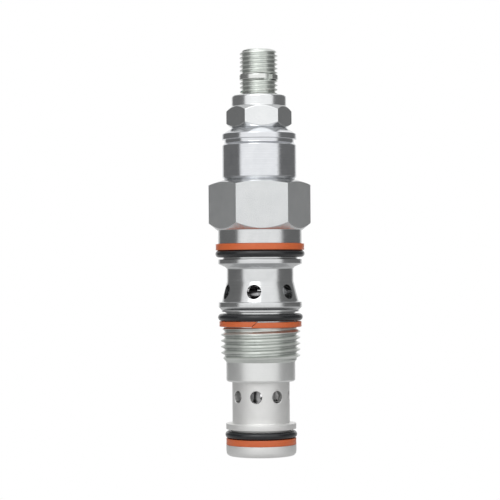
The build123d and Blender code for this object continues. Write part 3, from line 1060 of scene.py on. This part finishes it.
@dataclass
class HexagonBody:
    """Hexagon, stepped shank with side ports, mounting thread and lower collar."""

    upper: SealGroove
    middle: SealGroove
    node: str = "hex_body"
    across: float = 22.2
    turn_angle: float = math.radians(2.9)
    top_flat: float = 9.65
    top_bevel: float = 1.15
    bottom_flat: float = 10.7
    bottom_bevel: float = 1.75
    land: float = 10.5
    lip: float = 1.1
    neck: float = 8.35
    neck_fall: float = 0.9
    neck_flare: float = 0.4
    neck_length: float = 3.5
    cone_end: float = 9.65
    cone_length: float = 5.1
    middle_land: float = 10.45
    middle_land_length: float = 1.3
    middle_lip: float = 9.75
    crest: float = 9.95
    pitch: float = 1.5
    lead_in: float = 1.5
    thread_core: float = 8.0
    collar: float = 8.63
    collar_length: float = 4.9
    port: float = 1.8
    port_count: int = 6
    port_turn: float = math.radians(-100)
    port_drop: float = 2.6
    sleeve_hole: float = 7.21
    chamber: float = 6.3
    spigot_hole: float = 8.03
    spigot_floor: float = 0.8
    edge: float = 0.1

    @property
    def root(self) -> float:
        """Radius between the mounting thread's ridges."""
        return self.crest - THREAD_DEPTH * self.pitch

    @property
    def neck_end(self) -> float:
        """Height where the neck turns into the cone."""
        return self.upper.ends[0] - self.lip - self.neck_fall - self.neck_length

    def outline(self) -> Outline:
        """Half section of the whole body, hexagon included.

        Returns:
            The outline.
        """
        low, high = low_high(self.node)
        upper_low, upper_high = self.upper.ends
        middle_low, middle_high = self.middle.ends
        widest = self.across / math.sqrt(3)
        over = 0.35
        top_slope = self.top_bevel / (widest - self.top_flat)
        bottom_slope = self.bottom_bevel / (widest - self.bottom_flat)
        collar_top = low.z + self.collar_length
        shoulder = upper_low - self.lip
        cone_low = self.neck_end - self.cone_length
        land_low = cone_low - self.middle_land_length
        section = Outline()
        section.to(self.spigot_hole, high.z, 0.15).to(self.top_flat, high.z, 0.08)
        section.to(widest + over, high.z - self.top_bevel - over * top_slope)
        section.to(widest + over, self.bottom_bevel + over * bottom_slope)
        section.to(self.bottom_flat, 0, 0.08).to(self.land, 0, 0.04)
        section.to(self.land, upper_high, self.edge).to(self.upper.floor, upper_high, 0.15)
        section.to(self.upper.floor, upper_low, 0.15).to(self.land, upper_low, self.edge)
        section.to(self.land, shoulder, self.edge)
        section.to(self.neck + self.neck_flare, shoulder - self.neck_fall + 0.1, 0.1)
        section.to(self.neck, shoulder - self.neck_fall - 0.3, 0.2)
        section.to(self.neck, self.neck_end, 0.12).to(self.cone_end, cone_low, 0.05)
        section.to(self.middle_land, cone_low - 0.12, self.edge)
        section.to(self.middle_land, land_low, self.edge)
        section.to(self.middle_lip, land_low - 0.7, 0.08).to(self.middle_lip, middle_high, 0.08)
        section.to(self.middle.floor, middle_high, 0.15).to(self.middle.floor, middle_low, 0.15)
        section.to(self.root - 0.05, middle_low, 0.08).to(self.root - 0.05, collar_top + 0.5)
        section.to(self.collar, collar_top, 0.1).to(self.collar, low.z + 0.35, 0.1)
        section.to(self.collar - 0.35, low.z, 0.05).to(self.sleeve_hole + 0.15, low.z, 0.05)
        section.to(self.sleeve_hole, low.z + 0.15).to(self.sleeve_hole, self.sleeve_end)
        section.to(self.chamber, self.sleeve_end).to(self.chamber, self.spigot_floor)
        section.to(self.spigot_hole, self.spigot_floor)
        return section

    @property
    def sleeve_end(self) -> float:
        """Height of the shoulder that the sleeve stops at."""
        return low_high("sleeve")[1].z + 0.05

    def thread_limit(self, height: float) -> float:
        """Largest thread radius at a height, for the lead-in cone and the run-out.

        Args:
            height: Height along the axis.

        Returns:
            The radius in millimetres.
        """
        collar_top = low_high(self.node)[0].z + self.collar_length
        top = self.middle.ends[0]
        slope = (self.crest - self.collar) / self.lead_in
        lead_in = self.collar + (height - collar_top) * slope
        run_out = self.root + (top - height) * 1.2
        return max(self.collar, min(self.crest, lead_in, run_out))

    def ports(self) -> bmesh.types.BMesh:
        """Cutters for the side ports, long enough to pass the widest part of the cone.

        Returns:
            All cutters as one shell.
        """
        inner = self.chamber - 1.2
        outer = self.land + 1.0
        cutter = Outline().to(0, inner).to(self.port, inner).to(self.port, outer).to(0, outer)
        height = self.neck_end - self.port_drop
        return radial_drills(cutter, self.port_count, height, self.port_turn)

    def build(self, shop: Workshop, palette: Palette) -> None:
        """Make the body.

        Args:
            shop: Hands the piece over.
            palette: The valve's finishes.
        """
        shell = cut_flats(turn(self.outline()), self.across, self.turn_angle, 0.13)
        shell = carve(shell, self.ports(), Carve.CUT)
        low, _ = low_high(self.node)
        top = self.middle.ends[0]
        bar = thread(
            self.root,
            self.crest,
            self.pitch,
            low.z + self.collar_length + 0.02,
            top - 0.02,
            self.thread_limit,
        )
        core = Outline().to(0, low.z).to(self.thread_core, low.z).to(self.thread_core, 0).to(0, 0)
        bar = carve(bar, turn(core), Carve.CUT)
        shell = carve(shell, bar, Carve.JOIN)
        thread_low = low.z + self.collar_length

        def on_thread(face: bmesh.types.BMFace) -> bool:
            """Whether a face belongs to the mounting thread.

            Args:
                face: The face to test.

            Returns:
                True for a face of the thread.
            """
            middle = face.calc_center_median()
            radius = math.hypot(middle.x, middle.y)
            return thread_low < middle.z < top and radius > self.collar - 0.05

        def on_flat(face: bmesh.types.BMFace) -> bool:
            """Whether a face belongs to a flat of the hexagon."""
            return is_flat_side(face, self.across)

        def inside(face: bmesh.types.BMFace) -> bool:
            """Whether a face belongs to the stepped bore."""
            middle = face.calc_center_median()
            return math.hypot(middle.x, middle.y) < self.sleeve_hole + 0.1 and middle.z < -1

        def on_collar(face: bmesh.types.BMFace) -> bool:
            """Whether a face belongs to the polished collar."""
            return face.calc_center_median().z < thread_low

        shop.hand_over(
            self.node,
            shell,
            [
                Coat(palette.turned_zinc),
                Coat(palette.hexagon_zinc, on_flat),
                Coat(palette.body_thread, on_thread),
                Coat(palette.satin_collar, on_collar),
                # Painted shade: the stepped bore gets the dark coat.
                Coat(palette.painted_shade_bore, inside),
            ],
        )


@dataclass
class SpringHousing:
    """Round cap over the spring, with its groove, flange and cone, and its seal."""

    node: str = "spring_housing"
    seal: str = "housing_o_ring"
    spigot: float = 8.0
    bore: float = 6.4
    hexagon_top: float = 12.45
    foot: float = 8.65
    foot_rise: float = 0.85
    barrel: float = 9.3
    barrel_length: float = 7.9
    groove: float = 8.73
    groove_bevel: float = 0.6
    groove_width: float = 0.9
    flange: float = 9.33
    flange_length: float = 1.35
    top: float = 6.85
    seal_floor: float = 7.13
    seal_groove: float = 1.35
    edge: float = 0.12
    screw_hole: float = 4.80
    shoulder_rise: float = 8.0

    def outline(self) -> Outline:
        """Half section of the housing.

        Returns:
            The outline.
        """
        low, high = low_high(self.node)
        seal_low, seal_high = low_high(self.seal)
        seal_middle = (seal_low.z + seal_high.z) / 2
        barrel_low = self.hexagon_top + self.foot_rise
        barrel_high = barrel_low + self.barrel_length
        groove_low = barrel_high + self.groove_bevel
        groove_high = groove_low + self.groove_width
        screw_hole = self.screw_hole
        shoulder = low_high("adjusting_screw")[0].z + self.shoulder_rise
        section = Outline().to(self.bore, low.z, 0.2).to(self.spigot, low.z, 0.3)
        section.to(self.spigot, seal_middle - self.seal_groove / 2)
        section.to(self.seal_floor, seal_middle - self.seal_groove / 2)
        section.to(self.seal_floor, seal_middle + self.seal_groove / 2)
        section.to(self.spigot, seal_middle + self.seal_groove / 2)
        section.to(self.spigot, self.hexagon_top, 0.02).to(self.foot, self.hexagon_top, 0.06)
        section.to(self.barrel, barrel_low, self.edge).to(self.barrel, barrel_high, 0.08)
        section.to(self.groove, groove_low, 0.2).to(self.groove, groove_high, 0.12)
        section.to(self.flange, groove_high, 0.08)
        section.to(self.flange, groove_high + self.flange_length, self.edge)
        section.to(self.top, high.z, 0.15).to(screw_hole + 0.4, high.z, 0.05)
        section.to(screw_hole, high.z - 0.4).to(screw_hole, shoulder).to(self.bore, shoulder, 0.2)
        return section

    def build(self, shop: Workshop, palette: Palette) -> None:
        """Make the housing and its seal.

        Args:
            shop: Hands the pieces over.
            palette: The valve's finishes.
        """
        shop.hand_over(self.node, turn(self.outline()), [Coat(palette.bright_zinc)])
        hidden_o_ring(self.seal, shop, palette)


def hidden_o_ring(node: str, shop: Workshop, palette: Palette) -> None:
    """Make a round-section ring that sits inside the valve."""
    ring = turn(round_section(node, HIDDEN_POINTS), HIDDEN_STEPS)
    shop.hand_over(node, ring, [Coat(palette.black_rubber)])


def slit_ring(
    node: str,
    inner: float,
    mouth: float,
    direction: float,
    shop: Workshop,
    material: bpy.types.Material,
    edge: float = 0.1,
) -> None:
    """Make a ring with an open mouth, such as a snap ring.

    Args:
        node: The CAD node it stands for.
        inner: Its inner radius.
        mouth: Width of its opening, in degrees.
        direction: Direction of the opening, in degrees about Z.
        shop: Hands the piece over.
        material: Its finish.
        edge: Rounding of its corners.
    """
    low, high = low_high(node)
    outline = ring_outline(inner, outer_radius(node), low.z, high.z, edge)
    start = math.radians(direction + mouth / 2)
    ring = turn(outline, HIDDEN_STEPS, FULL_TURN - math.radians(mouth), start)
    shop.hand_over(node, ring, [Coat(material)])


@dataclass
class Adjuster:
    """Adjusting screw with its piston, seals and snap ring."""

    node: str = "adjusting_screw"
    snap_ring: str = "screw_snap_ring"
    seal: str = "screw_o_ring"
    backup: str = "screw_backup_ring"
    crest: float = 4.7625
    pitch: float = 25.4 / 24
    tip: float = 2.9
    tip_round: float = 1.3
    socket: float = 3.97
    socket_depth: float = 4.5
    socket_turn: float = math.radians(14)
    snap_floor: float = 4.0
    snap_gap: float = 0.06
    piston: float = 6.37
    piston_length: float = 6.0
    seal_floor: float = 4.82
    seal_low: float = 1.3
    seal_width: float = 3.1
    snap_mouth: float = 26.0
    snap_turn: float = -57.0
    snap_grip: float = 0.03
    snap_edge: float = 0.18
    backup_gap: float = 0.05

    @property
    def root(self) -> float:
        """Radius between the thread's ridges."""
        return self.crest - THREAD_DEPTH * self.pitch

    def thread_limit(self, height: float) -> float:
        """Largest radius at a height, for the domed tip and the run-out above the piston.

        Args:
            height: Height along the axis.

        Returns:
            The radius in millimetres.
        """
        low, high = low_high(self.node)
        run_out = self.root + max(0.0, height - (low.z + self.piston_length + 1.2)) * 0.8
        into_tip = (height - (high.z - self.tip_round)) / self.tip_round
        if into_tip <= 0:
            return min(self.crest, run_out)
        return self.tip + (self.crest - self.tip) * math.sqrt(max(0.0, 1 - into_tip**2))

    def piston_shell(self) -> bmesh.types.BMesh:
        """Plain end that slides in the housing, with its seal groove and the thread's core.

        Returns:
            The turned shell.
        """
        low, high = low_high(self.node)
        groove_low = low.z + self.seal_low
        groove_high = groove_low + self.seal_width
        top = low.z + self.piston_length
        section = Outline().to(0, low.z).to(self.piston, low.z, 0.3)
        section.to(self.piston, groove_low, 0.05).to(self.seal_floor, groove_low)
        section.to(self.seal_floor, groove_high).to(self.piston, groove_high, 0.05)
        section.to(self.piston, top, 0.2).to(self.root - 0.1, top, 0.2)
        section.to(self.root - 0.1, high.z - self.tip_round * 2).to(0, high.z - self.tip_round * 2)
        return turn(section, 120)

    def socket_cutter(self) -> bmesh.types.BMesh:
        """Hexagonal cutter with an eased mouth.

        Returns:
            The cutter.
        """
        _, high = low_high(self.node)
        corner = self.socket / math.sqrt(3)
        cutter = bmesh.new()
        base = bmesh.ops.create_circle(cutter, cap_ends=True, segments=6, radius=corner)
        bmesh.ops.translate(cutter, verts=base["verts"], vec=(0, 0, high.z - self.socket_depth))
        grown = bmesh.ops.extrude_face_region(cutter, geom=list(cutter.faces))
        risen = [item for item in grown["geom"] if isinstance(item, bmesh.types.BMVert)]
        bmesh.ops.translate(cutter, verts=risen, vec=(0, 0, self.socket_depth + 1))
        cutter.transform(Matrix.Rotation(self.socket_turn, 4, "Z"))
        bmesh.ops.recalc_face_normals(cutter, faces=cutter.faces)
        entry = Outline().to(0, high.z - 0.35).to(corner - 0.25, high.z - 0.35)
        entry.to(corner + 0.25, high.z + 0.15).to(0, high.z + 0.15)
        return carve(cutter, turn(entry, 64), Carve.JOIN)

    def snap_cutter(self) -> bmesh.types.BMesh:
        """Ring cutter for the snap ring's groove.

        Returns:
            The cutter.
        """
        low, high = low_high(self.snap_ring)
        groove = ring_outline(
            self.snap_floor, self.crest + 1, low.z - self.snap_gap, high.z + self.snap_gap, 0.08
        )
        return turn(groove, 120)

    def build(self, shop: Workshop, palette: Palette) -> None:
        """Make the screw and its rings.

        Args:
            shop: Hands the pieces over.
            palette: The valve's finishes.
        """
        low, high = low_high(self.node)
        bar = thread(
            self.root,
            self.crest,
            self.pitch,
            low.z + self.piston_length + 0.8,
            high.z,
            self.thread_limit,
            96,
        )
        bar = carve(bar, self.piston_shell(), Carve.JOIN)
        bar = carve(bar, self.snap_cutter(), Carve.CUT)
        bar = carve(bar, self.socket_cutter(), Carve.CUT)
        shop.hand_over(self.node, bar, [Coat(palette.screw_thread)])
        slit_ring(
            self.snap_ring,
            self.snap_floor + self.snap_grip,
            self.snap_mouth,
            self.snap_turn,
            shop,
            palette.ring_steel,
            self.snap_edge,
        )
        hidden_o_ring(self.seal, shop, palette)
        inner = self.seal_floor + self.backup_gap
        slit_ring(self.backup, inner, BACKUP_MOUTH, 0.0, shop, palette.orange_backup)


@dataclass
class Locknut:
    """Thin hexagon nut with a rolled collar over a nylon ring."""

    node: str = "locknut"
    insert: str = "locknut_insert"
    across: float = 14.3
    turn_angle: float = math.radians(5)
    collar: float = 6.85
    collar_height: float = 2.75
    collar_round: float = 1.3
    top_bevel: float = 1.25
    foot: float = 6.85
    foot_bevel: float = 1.1
    hole: float = 4.80
    insert_hole: float = 6.03
    lid_hole: float = 5.45
    lid: float = 0.45
    insert_gap: float = 0.03

    def outline(self) -> Outline:
        """Half section of the nut.

        Returns:
            The outline.
        """
        low, high = low_high(self.node)
        insert_low, insert_high = low_high(self.insert)
        widest = self.across / math.sqrt(3)
        over = 0.3
        collar_low = high.z - self.collar_height
        top_slope = self.top_bevel / (widest - self.collar)
        foot_slope = self.foot_bevel / (widest - self.foot)
        section = Outline().to(self.hole + 0.45, low.z).to(self.foot, low.z, 0.05)
        section.to(widest + over, low.z + self.foot_bevel + over * foot_slope)
        section.to(widest + over, collar_low - self.top_bevel - over * top_slope)
        section.to(self.collar, collar_low, 0.12).to(self.collar, high.z, self.collar_round)
        section.to(self.lid_hole, high.z, 0.15).to(self.lid_hole, insert_high.z + self.insert_gap)
        section.to(self.insert_hole, insert_high.z + self.insert_gap)
        section.to(self.insert_hole, insert_low.z - self.insert_gap)
        section.to(self.hole, insert_low.z - self.insert_gap).to(self.hole, low.z + 0.45)
        return section

    def build(self, shop: Workshop, palette: Palette) -> None:
        """Make the nut and its insert.

        Args:
            shop: Hands the pieces over.
            palette: The valve's finishes.
        """
        shell = cut_flats(turn(self.outline(), 180), self.across, self.turn_angle, 0.12)
        shop.hand_over(self.node, shell, [Coat(palette.nut_zinc)])
        low, high = low_high(self.insert)
        ring = ring_outline(self.hole, outer_radius(self.insert), low.z, high.z, 0.15)
        shop.hand_over(self.insert, turn(ring, 120), [Coat(palette.nylon)])


@dataclass
class PortedSleeve:
    """Sleeve with its row of ports and its nose, and the rings that hold and seal it."""

    nose_seal: SealGroove
    node: str = "sleeve"
    retaining_ring: str = "sleeve_retaining_ring"
    seal: str = "sleeve_o_ring"
    backup: str = "sleeve_backup_ring"
    stop_ring: str = "spool_stop_ring"
    wall: float = 7.18
    nose: float = 8.78
    nose_lip: float = 1.4
    nose_round: float = 1.25
    port: float = 1.5
    port_count: int = 8
    port_turn: float = math.radians(-100)
    port_bevel: float = 0.18
    port_rise: float = 3.7
    bore: float = 4.6
    nose_bore: float = 4.9
    relief: float = 5.15
    annulus: float = 5.5
    annulus_width: float = 3.2
    metering_land: float = 3.0
    seal_floor: float = 6.31
    seal_groove: float = 2.7
    ring_floor: float = 6.55
    gap: float = 0.03
    ring_mouth: float = 20.0
    ring_turn: float = 90.0
    stop_bore: float = 3.6
    stop_mouth: float = 40.0
    stop_turn: float = 60.0
    stop_edge: float = 0.12

    @property
    def port_height(self) -> float:
        """Height of the ports' centres."""
        return low_high("hex_body")[0].z - self.port_rise

    def outline(self) -> Outline:
        """Half section of the sleeve.

        Returns:
            The outline.
        """
        low, high = low_high(self.node)
        groove_low, groove_high = self.nose_seal.ends
        ring_low, ring_high = low_high(self.retaining_ring)
        seal_low, _ = low_high(self.seal)
        stop_low, stop_high = low_high(self.stop_ring)
        stop_radius = outer_radius(self.stop_ring) + self.gap
        annulus_high = self.port_height + self.annulus_width / 2
        land_high = annulus_high + self.metering_land
        section = Outline().to(self.nose_bore, low.z, 0.25).to(self.nose, low.z, self.nose_round)
        section.to(self.nose, groove_low, 0.1).to(self.nose_seal.floor, groove_low, 0.12)
        section.to(self.nose_seal.floor, groove_high, 0.12).to(self.nose, groove_high, 0.1)
        section.to(self.nose, groove_high + self.nose_lip, 0.12)
        section.to(self.wall, groove_high + self.nose_lip, 0.25)
        section.to(self.wall, ring_low.z - self.gap, 0.05)
        section.to(self.ring_floor, ring_low.z - self.gap)
        section.to(self.ring_floor, ring_high.z + self.gap).to(self.wall, ring_high.z + self.gap)
        section.to(self.wall, seal_low.z).to(self.seal_floor, seal_low.z)
        section.to(self.seal_floor, seal_low.z + self.seal_groove)
        section.to(self.wall, seal_low.z + self.seal_groove).to(self.wall, high.z, 0.25)
        section.to(self.relief, high.z, 0.15).to(self.relief, land_high).to(self.bore, land_high)
        section.to(self.bore, annulus_high).to(self.annulus, annulus_high)
        section.to(self.annulus, annulus_high - self.annulus_width)
        section.to(self.bore, annulus_high - self.annulus_width)
        section.to(self.bore, stop_high.z + self.gap).to(stop_radius, stop_high.z + self.gap)
        section.to(stop_radius, stop_low.z - self.gap).to(self.nose_bore, stop_low.z - self.gap)
        return section

    def ports(self) -> bmesh.types.BMesh:
        """Cutters for the ports, eased at the mouth.

        Returns:
            All cutters as one shell.
        """
        cutter = Outline().to(0, self.annulus - 0.4).to(self.port, self.annulus - 0.4)
        cutter.to(self.port, self.wall - self.port_bevel, 0.1)
        cutter.to(self.port + self.port_bevel * 2, self.wall + self.port_bevel)
        cutter.to(0, self.wall + self.port_bevel)
        return radial_drills(cutter, self.port_count, self.port_height, self.port_turn)

    def build(self, shop: Workshop, palette: Palette) -> None:
        """Make the sleeve and its rings.

        Args:
            shop: Hands the pieces over.
            palette: The valve's finishes.
        """
        shell = carve(turn(self.outline()), self.ports(), Carve.CUT)

        def inside(face: bmesh.types.BMFace) -> bool:
            """Whether a face belongs to the bore."""
            middle = face.calc_center_median()
            return math.hypot(middle.x, middle.y) < self.annulus + 0.5

        # Painted shade: the bore and the inner port walls get the dark coat.
        coats = [Coat(palette.satin_sleeve), Coat(palette.painted_shade_bore, inside)]
        shop.hand_over(self.node, shell, coats)
        inner = self.ring_floor + self.gap
        slit_ring(
            self.retaining_ring, inner, self.ring_mouth, self.ring_turn, shop, palette.ring_steel
        )
        slit_ring(
            self.stop_ring,
            self.stop_bore,
            self.stop_mouth,
            self.stop_turn,
            shop,
            palette.ring_steel,
            self.stop_edge,
        )
        hidden_o_ring(self.seal, shop, palette)
        inner = self.seal_floor + self.gap
        slit_ring(self.backup, inner, BACKUP_MOUTH, 0.0, shop, palette.orange_backup)


@dataclass
class MeteringSpool:
    """Spool with its groove, cross holes and orifice plug."""

    node: str = "spool"
    plug: str = "damping_orifice"
    land: float = 4.57
    groove: float = 3.7
    groove_width: float = 3.0
    upper_land: float = 4.9
    shank: float = 3.6
    hollow: float = 2.6
    hollow_rise: float = 3.1
    drain: float = 1.1
    plug_hole: float = 1.83
    cross_hole: float = 1.1
    cross_holes: int = 4
    cross_hole_turn: float = math.radians(-77.5)
    orifice: float = 0.4
    edge: float = 0.06

    def build(self, shop: Workshop, palette: Palette, port_height: float) -> None:
        """Make the spool and its plug.

        Args:
            shop: Hands the pieces over.
            palette: The valve's finishes.
            port_height: Height of the sleeve ports' centres.
        """
        low, high = low_high(self.node)
        plug_low, plug_high = low_high(self.plug)
        groove_high = port_height + self.groove_width / 2
        groove_low = port_height - self.groove_width / 2
        land_high = groove_high + self.upper_land
        hollow_top = port_height + self.hollow_rise
        section = Outline().to(self.hollow, low.z, 0.1).to(self.land, low.z, 0.15)
        section.to(self.land, groove_low, self.edge).to(self.groove, groove_low, 0.1)
        section.to(self.groove, groove_high, 0.1).to(self.land, groove_high, self.edge)
        section.to(self.land, land_high, self.edge).to(self.shank, land_high + 0.6, 0.1)
        section.to(self.shank, high.z, 0.15).to(self.plug_hole, high.z)
        section.to(self.plug_hole, plug_low.z - 0.03).to(self.drain, plug_low.z - 0.03)
        section.to(self.drain, hollow_top).to(self.hollow, hollow_top)
        cutter = Outline().to(0, self.hollow - 0.5).to(self.cross_hole, self.hollow - 0.5)
        cutter.to(self.cross_hole, self.groove + 0.4).to(0, self.groove + 0.4)
        holes = radial_drills(cutter, self.cross_holes, port_height, self.cross_hole_turn, 24)
        shell = carve(turn(section, 144), holes, Carve.CUT)
        shop.hand_over(self.node, shell, [Coat(palette.ground_steel)])
        plug = ring_outline(self.orifice, outer_radius(self.plug), plug_low.z, plug_high.z, 0.1)
        shop.hand_over(self.plug, turn(plug, 48), [Coat(palette.ground_steel)])


@dataclass
class SpringStack:
    """Main spring between its two guides."""

    spring: str = "main_spring"
    upper: str = "upper_spring_guide"
    lower: str = "lower_spring_guide"
    wire: float = 0.8
    mean: float = 4.9
    coils: float = 9.5
    flange: float = 2.3
    stem: float = 3.8
    recess: float = 0.8
    recess_radius: float = 3.63
    drill: float = 1.5
    steps: int = 48

    def spring_shell(self) -> bmesh.types.BMesh:
        """Coiled wire with closed end coils, ground flat.

        Returns:
            The whole spring in millimetres.
        """
        low, high = low_high(self.spring)
        shell = bmesh.new()
        section = bmesh.ops.create_circle(shell, cap_ends=False, segments=14, radius=self.wire)
        upright = Matrix.Rotation(math.radians(90), 4, "X")
        bmesh.ops.transform(shell, matrix=upright, verts=section["verts"])
        start = low.z + self.wire * 0.35
        bmesh.ops.translate(shell, verts=section["verts"], vec=(self.mean, 0, start))
        closed_lead = self.wire * 1.9
        total = high.z - low.z - 2 * self.wire * 0.35
        working = self.coils - 2
        open_lead = (total - 2 * closed_lead) / working
        geometry = [*shell.verts, *shell.edges]
        for turns, lead in ((1.0, closed_lead), (working, open_lead), (1.0, closed_lead)):
            steps = round(self.steps * turns)
            geometry = spin(shell, geometry, lead * turns / steps, FULL_TURN * turns, steps)
        tidy_shell(shell)
        slice_between(shell, low.z, high.z)
        return tidy_shell(shell)

    def build(self, shop: Workshop, palette: Palette) -> None:
        """Make the spring and its guides.

        Args:
            shop: Hands the pieces over.
            palette: The valve's finishes.
        """
        spring_low, spring_high = low_high(self.spring)
        middle = (spring_low.z + spring_high.z) / 2
        lower = Stretch("spool_set", "valve", spring_low.z, middle)
        upper = Stretch("valve", "guide", middle, spring_high.z)
        for stretch, kept, part in ((lower, -1, ""), (upper, 1, "_upper_half")):
            half = self.spring_shell()
            slice_off(half, (0, 0, middle), (0, 0, -kept))
            coats = [Coat(palette.spring_wire)]
            shop.hand_over(self.spring, tidy_shell(half), coats, stretch=stretch, part=part)
        low, high = low_high(self.lower)
        guide = outer_radius(self.lower)
        section = Outline().to(self.recess_radius, low.z).to(guide, low.z, 0.2)
        section.to(guide, spring_low.z, 0.15).to(self.stem, spring_low.z, 0.1)
        section.to(self.stem, high.z, 0.4).to(self.drill, high.z, 0.1)
        section.to(self.drill, low.z + self.recess).to(self.recess_radius, low.z + self.recess)
        shop.hand_over(self.lower, turn(section, 120), [Coat(palette.ground_steel)])
        low, high = low_high(self.upper)
        shoulder = spring_high.z + self.flange
        section = Outline().to(0, low.z).to(self.stem, low.z, 0.4)
        section.to(self.stem, spring_high.z, 0.1).to(guide, spring_high.z, 0.15)
        section.to(guide, shoulder, 0.2).to(self.stem, shoulder)
        section.to(self.stem * 0.45, high.z, 1.2).to(0, high.z)
        shop.hand_over(self.upper, turn(section, 120), [Coat(palette.ground_steel)])


# ---------------------------------------------------------------------------------------------
# Studio
# ---------------------------------------------------------------------------------------------


@dataclass
class Studio:
    """Floor, soft light and camera."""

    image_size: int = 500
    distance: float = 0.44
    scale: float = 0.251
    camera_height: float = -0.0105
    centre_height: float = -0.00495
    side_step: float = -0.0025
    roll: float = math.radians(-0.42)
    sensor: float = 36.0
    floor_size: float = 0.25
    side_light: float = 0.17
    front_light: float = 0.90
    back_light: float = 0.75
    top_light: float = 0.45
    floor_glow: float = 0.55
    floor_drop: float = 0.0002
    front_edge: float = -0.47
    back_edge: float = 0.86
    wall_blur: float = 0.06
    top_edge: float = 0.62
    top_blur: float = 0.12
    lamp_place: tuple[float, float, float] = (-0.15, -0.45, 0.35)
    lamp_size: float = 0.3
    lamp_power: float = 0.5

    def floor(self) -> None:
        """Plain pale floor under the nose."""
        shell = bmesh.new()
        bmesh.ops.create_circle(shell, cap_ends=True, segments=64, radius=self.floor_size)
        mesh = bpy.data.meshes.new("floor")
        shell.to_mesh(mesh)
        shell.free()
        material, shader = new_material("pale_floor")
        dim = shader.node(
            "ShaderNodeEmission",
            inputs={"Color": (1.0, 1.0, 1.0, 1.0), "Strength": self.floor_glow},
        )
        bright = shader.node(
            "ShaderNodeEmission", inputs={"Color": (1.0, 1.0, 1.0, 1.0), "Strength": 1.0}
        )
        seen = shader.node("ShaderNodeLightPath", output="Is Camera Ray")
        surface = shader.node("ShaderNodeMixShader", inputs={0: seen, 1: dim, 2: bright})
        shader.node("ShaderNodeOutputMaterial", inputs={"Surface": surface})
        mesh.materials.append(material)
        floor = bpy.data.objects.new("floor", mesh)
        floor.location.z = low_high("sleeve")[0].z * MM - self.floor_drop
        bpy.context.scene.collection.objects.link(floor)

    def surroundings(self) -> None:
        """White room with darker side walls, so that round metal shows a bright middle."""
        world = bpy.data.worlds.new("light_tent")
        world.use_nodes = True
        bpy.context.scene.world = world
        shader = Shader(world.node_tree)
        direction = shader.node("ShaderNodeTexCoord", output="Generated")
        split = shader.node("ShaderNodeSeparateXYZ", inputs={0: direction})
        x, y, z = (Signal(shader, split.socket.node.outputs[axis]) for axis in range(3))
        level = (x * x + y * y) ** 0.5 + 1e-4
        forward = shader.node("ShaderNodeMath", {"operation": "DIVIDE"}, {0: y, 1: level})
        front = 1 - forward.above(self.front_edge, self.wall_blur)
        back = forward.above(self.back_edge, self.wall_blur)
        height = z.above(self.top_edge, self.top_blur) * self.top_light
        walls = self.side_light + front * self.front_light + back * self.back_light + height
        seen = shader.node("ShaderNodeLightPath", output="Is Camera Ray")
        strength = walls + seen * (1 - walls)
        light = shader.node(
            "ShaderNodeBackground", inputs={"Color": (1.0, 1.0, 1.0, 1.0), "Strength": strength}
        )
        shader.node("ShaderNodeOutputWorld", inputs={"Surface": light})

    def lamp(self, name: str, place: Sequence[float], size: float, power: float) -> None:
        """Hang one square soft box that points at the valve.

        Args:
            name: Its name.
            place: Where it hangs, in metres.
            size: Its side, in metres.
            power: Its power in watts.
        """
        data = bpy.data.lights.new(name, "AREA")
        data.shape = "SQUARE"
        data.size = size
        data.energy = power
        lamp = bpy.data.objects.new(name, data)
        lamp.location = place
        lamp.rotation_mode = "QUATERNION"
        lamp.rotation_quaternion = (-Vector(place)).to_track_quat("-Z", "Y")
        bpy.context.scene.collection.objects.link(lamp)

    def camera(self) -> None:
        """Level camera that sees the whole valve."""
        data = bpy.data.cameras.new("camera")
        width = self.image_size * self.scale * MM
        data.sensor_width = self.sensor
        data.lens = self.sensor * self.distance / width
        camera = bpy.data.objects.new("camera", data)
        camera.location = (0, -self.distance, self.camera_height)
        aim = Vector((self.side_step, 0, self.centre_height)) - camera.location
        camera.rotation_mode = "QUATERNION"
        level = aim.to_track_quat("-Z", "Y")
        camera.rotation_quaternion = level @ Matrix.Rotation(self.roll, 3, "Z").to_quaternion()
        bpy.context.scene.collection.objects.link(camera)
        bpy.context.scene.camera = camera

    def build(self) -> None:
        """Set up the floor, the light and the camera."""
        bpy.context.scene.view_settings.view_transform = "Standard"
        self.camera()
        self.floor()
        self.surroundings()
        self.lamp("key_light", self.lamp_place, self.lamp_size, self.lamp_power)


# ---------------------------------------------------------------------------------------------
# The valve
# ---------------------------------------------------------------------------------------------


def main() -> None:
    """Build the studio and every sub-assembly in order."""
    logging.basicConfig(level=logging.INFO, format="%(name)s: %(message)s")
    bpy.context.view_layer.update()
    Studio().build()
    shop = Workshop(frame["record"])
    palette = Palette()
    upper = SealGroove("upper_o_ring", "upper_backup_ring", 70.0)
    middle = SealGroove("middle_o_ring", "middle_backup_ring", -99.0, 0.22)
    nose = SealGroove("nose_o_ring", "nose_backup_ring", 130.0)
    for groove in (upper, middle, nose):
        groove.build(shop, palette)
    HexagonBody(upper, middle).build(shop, palette)
    SpringHousing().build(shop, palette)
    Adjuster().build(shop, palette)
    Locknut().build(shop, palette)
    sleeve = PortedSleeve(nose)
    sleeve.build(shop, palette)
    MeteringSpool().build(shop, palette, sleeve.port_height)
    SpringStack().build(shop, palette)


if __name__ == "__main__":
    main()
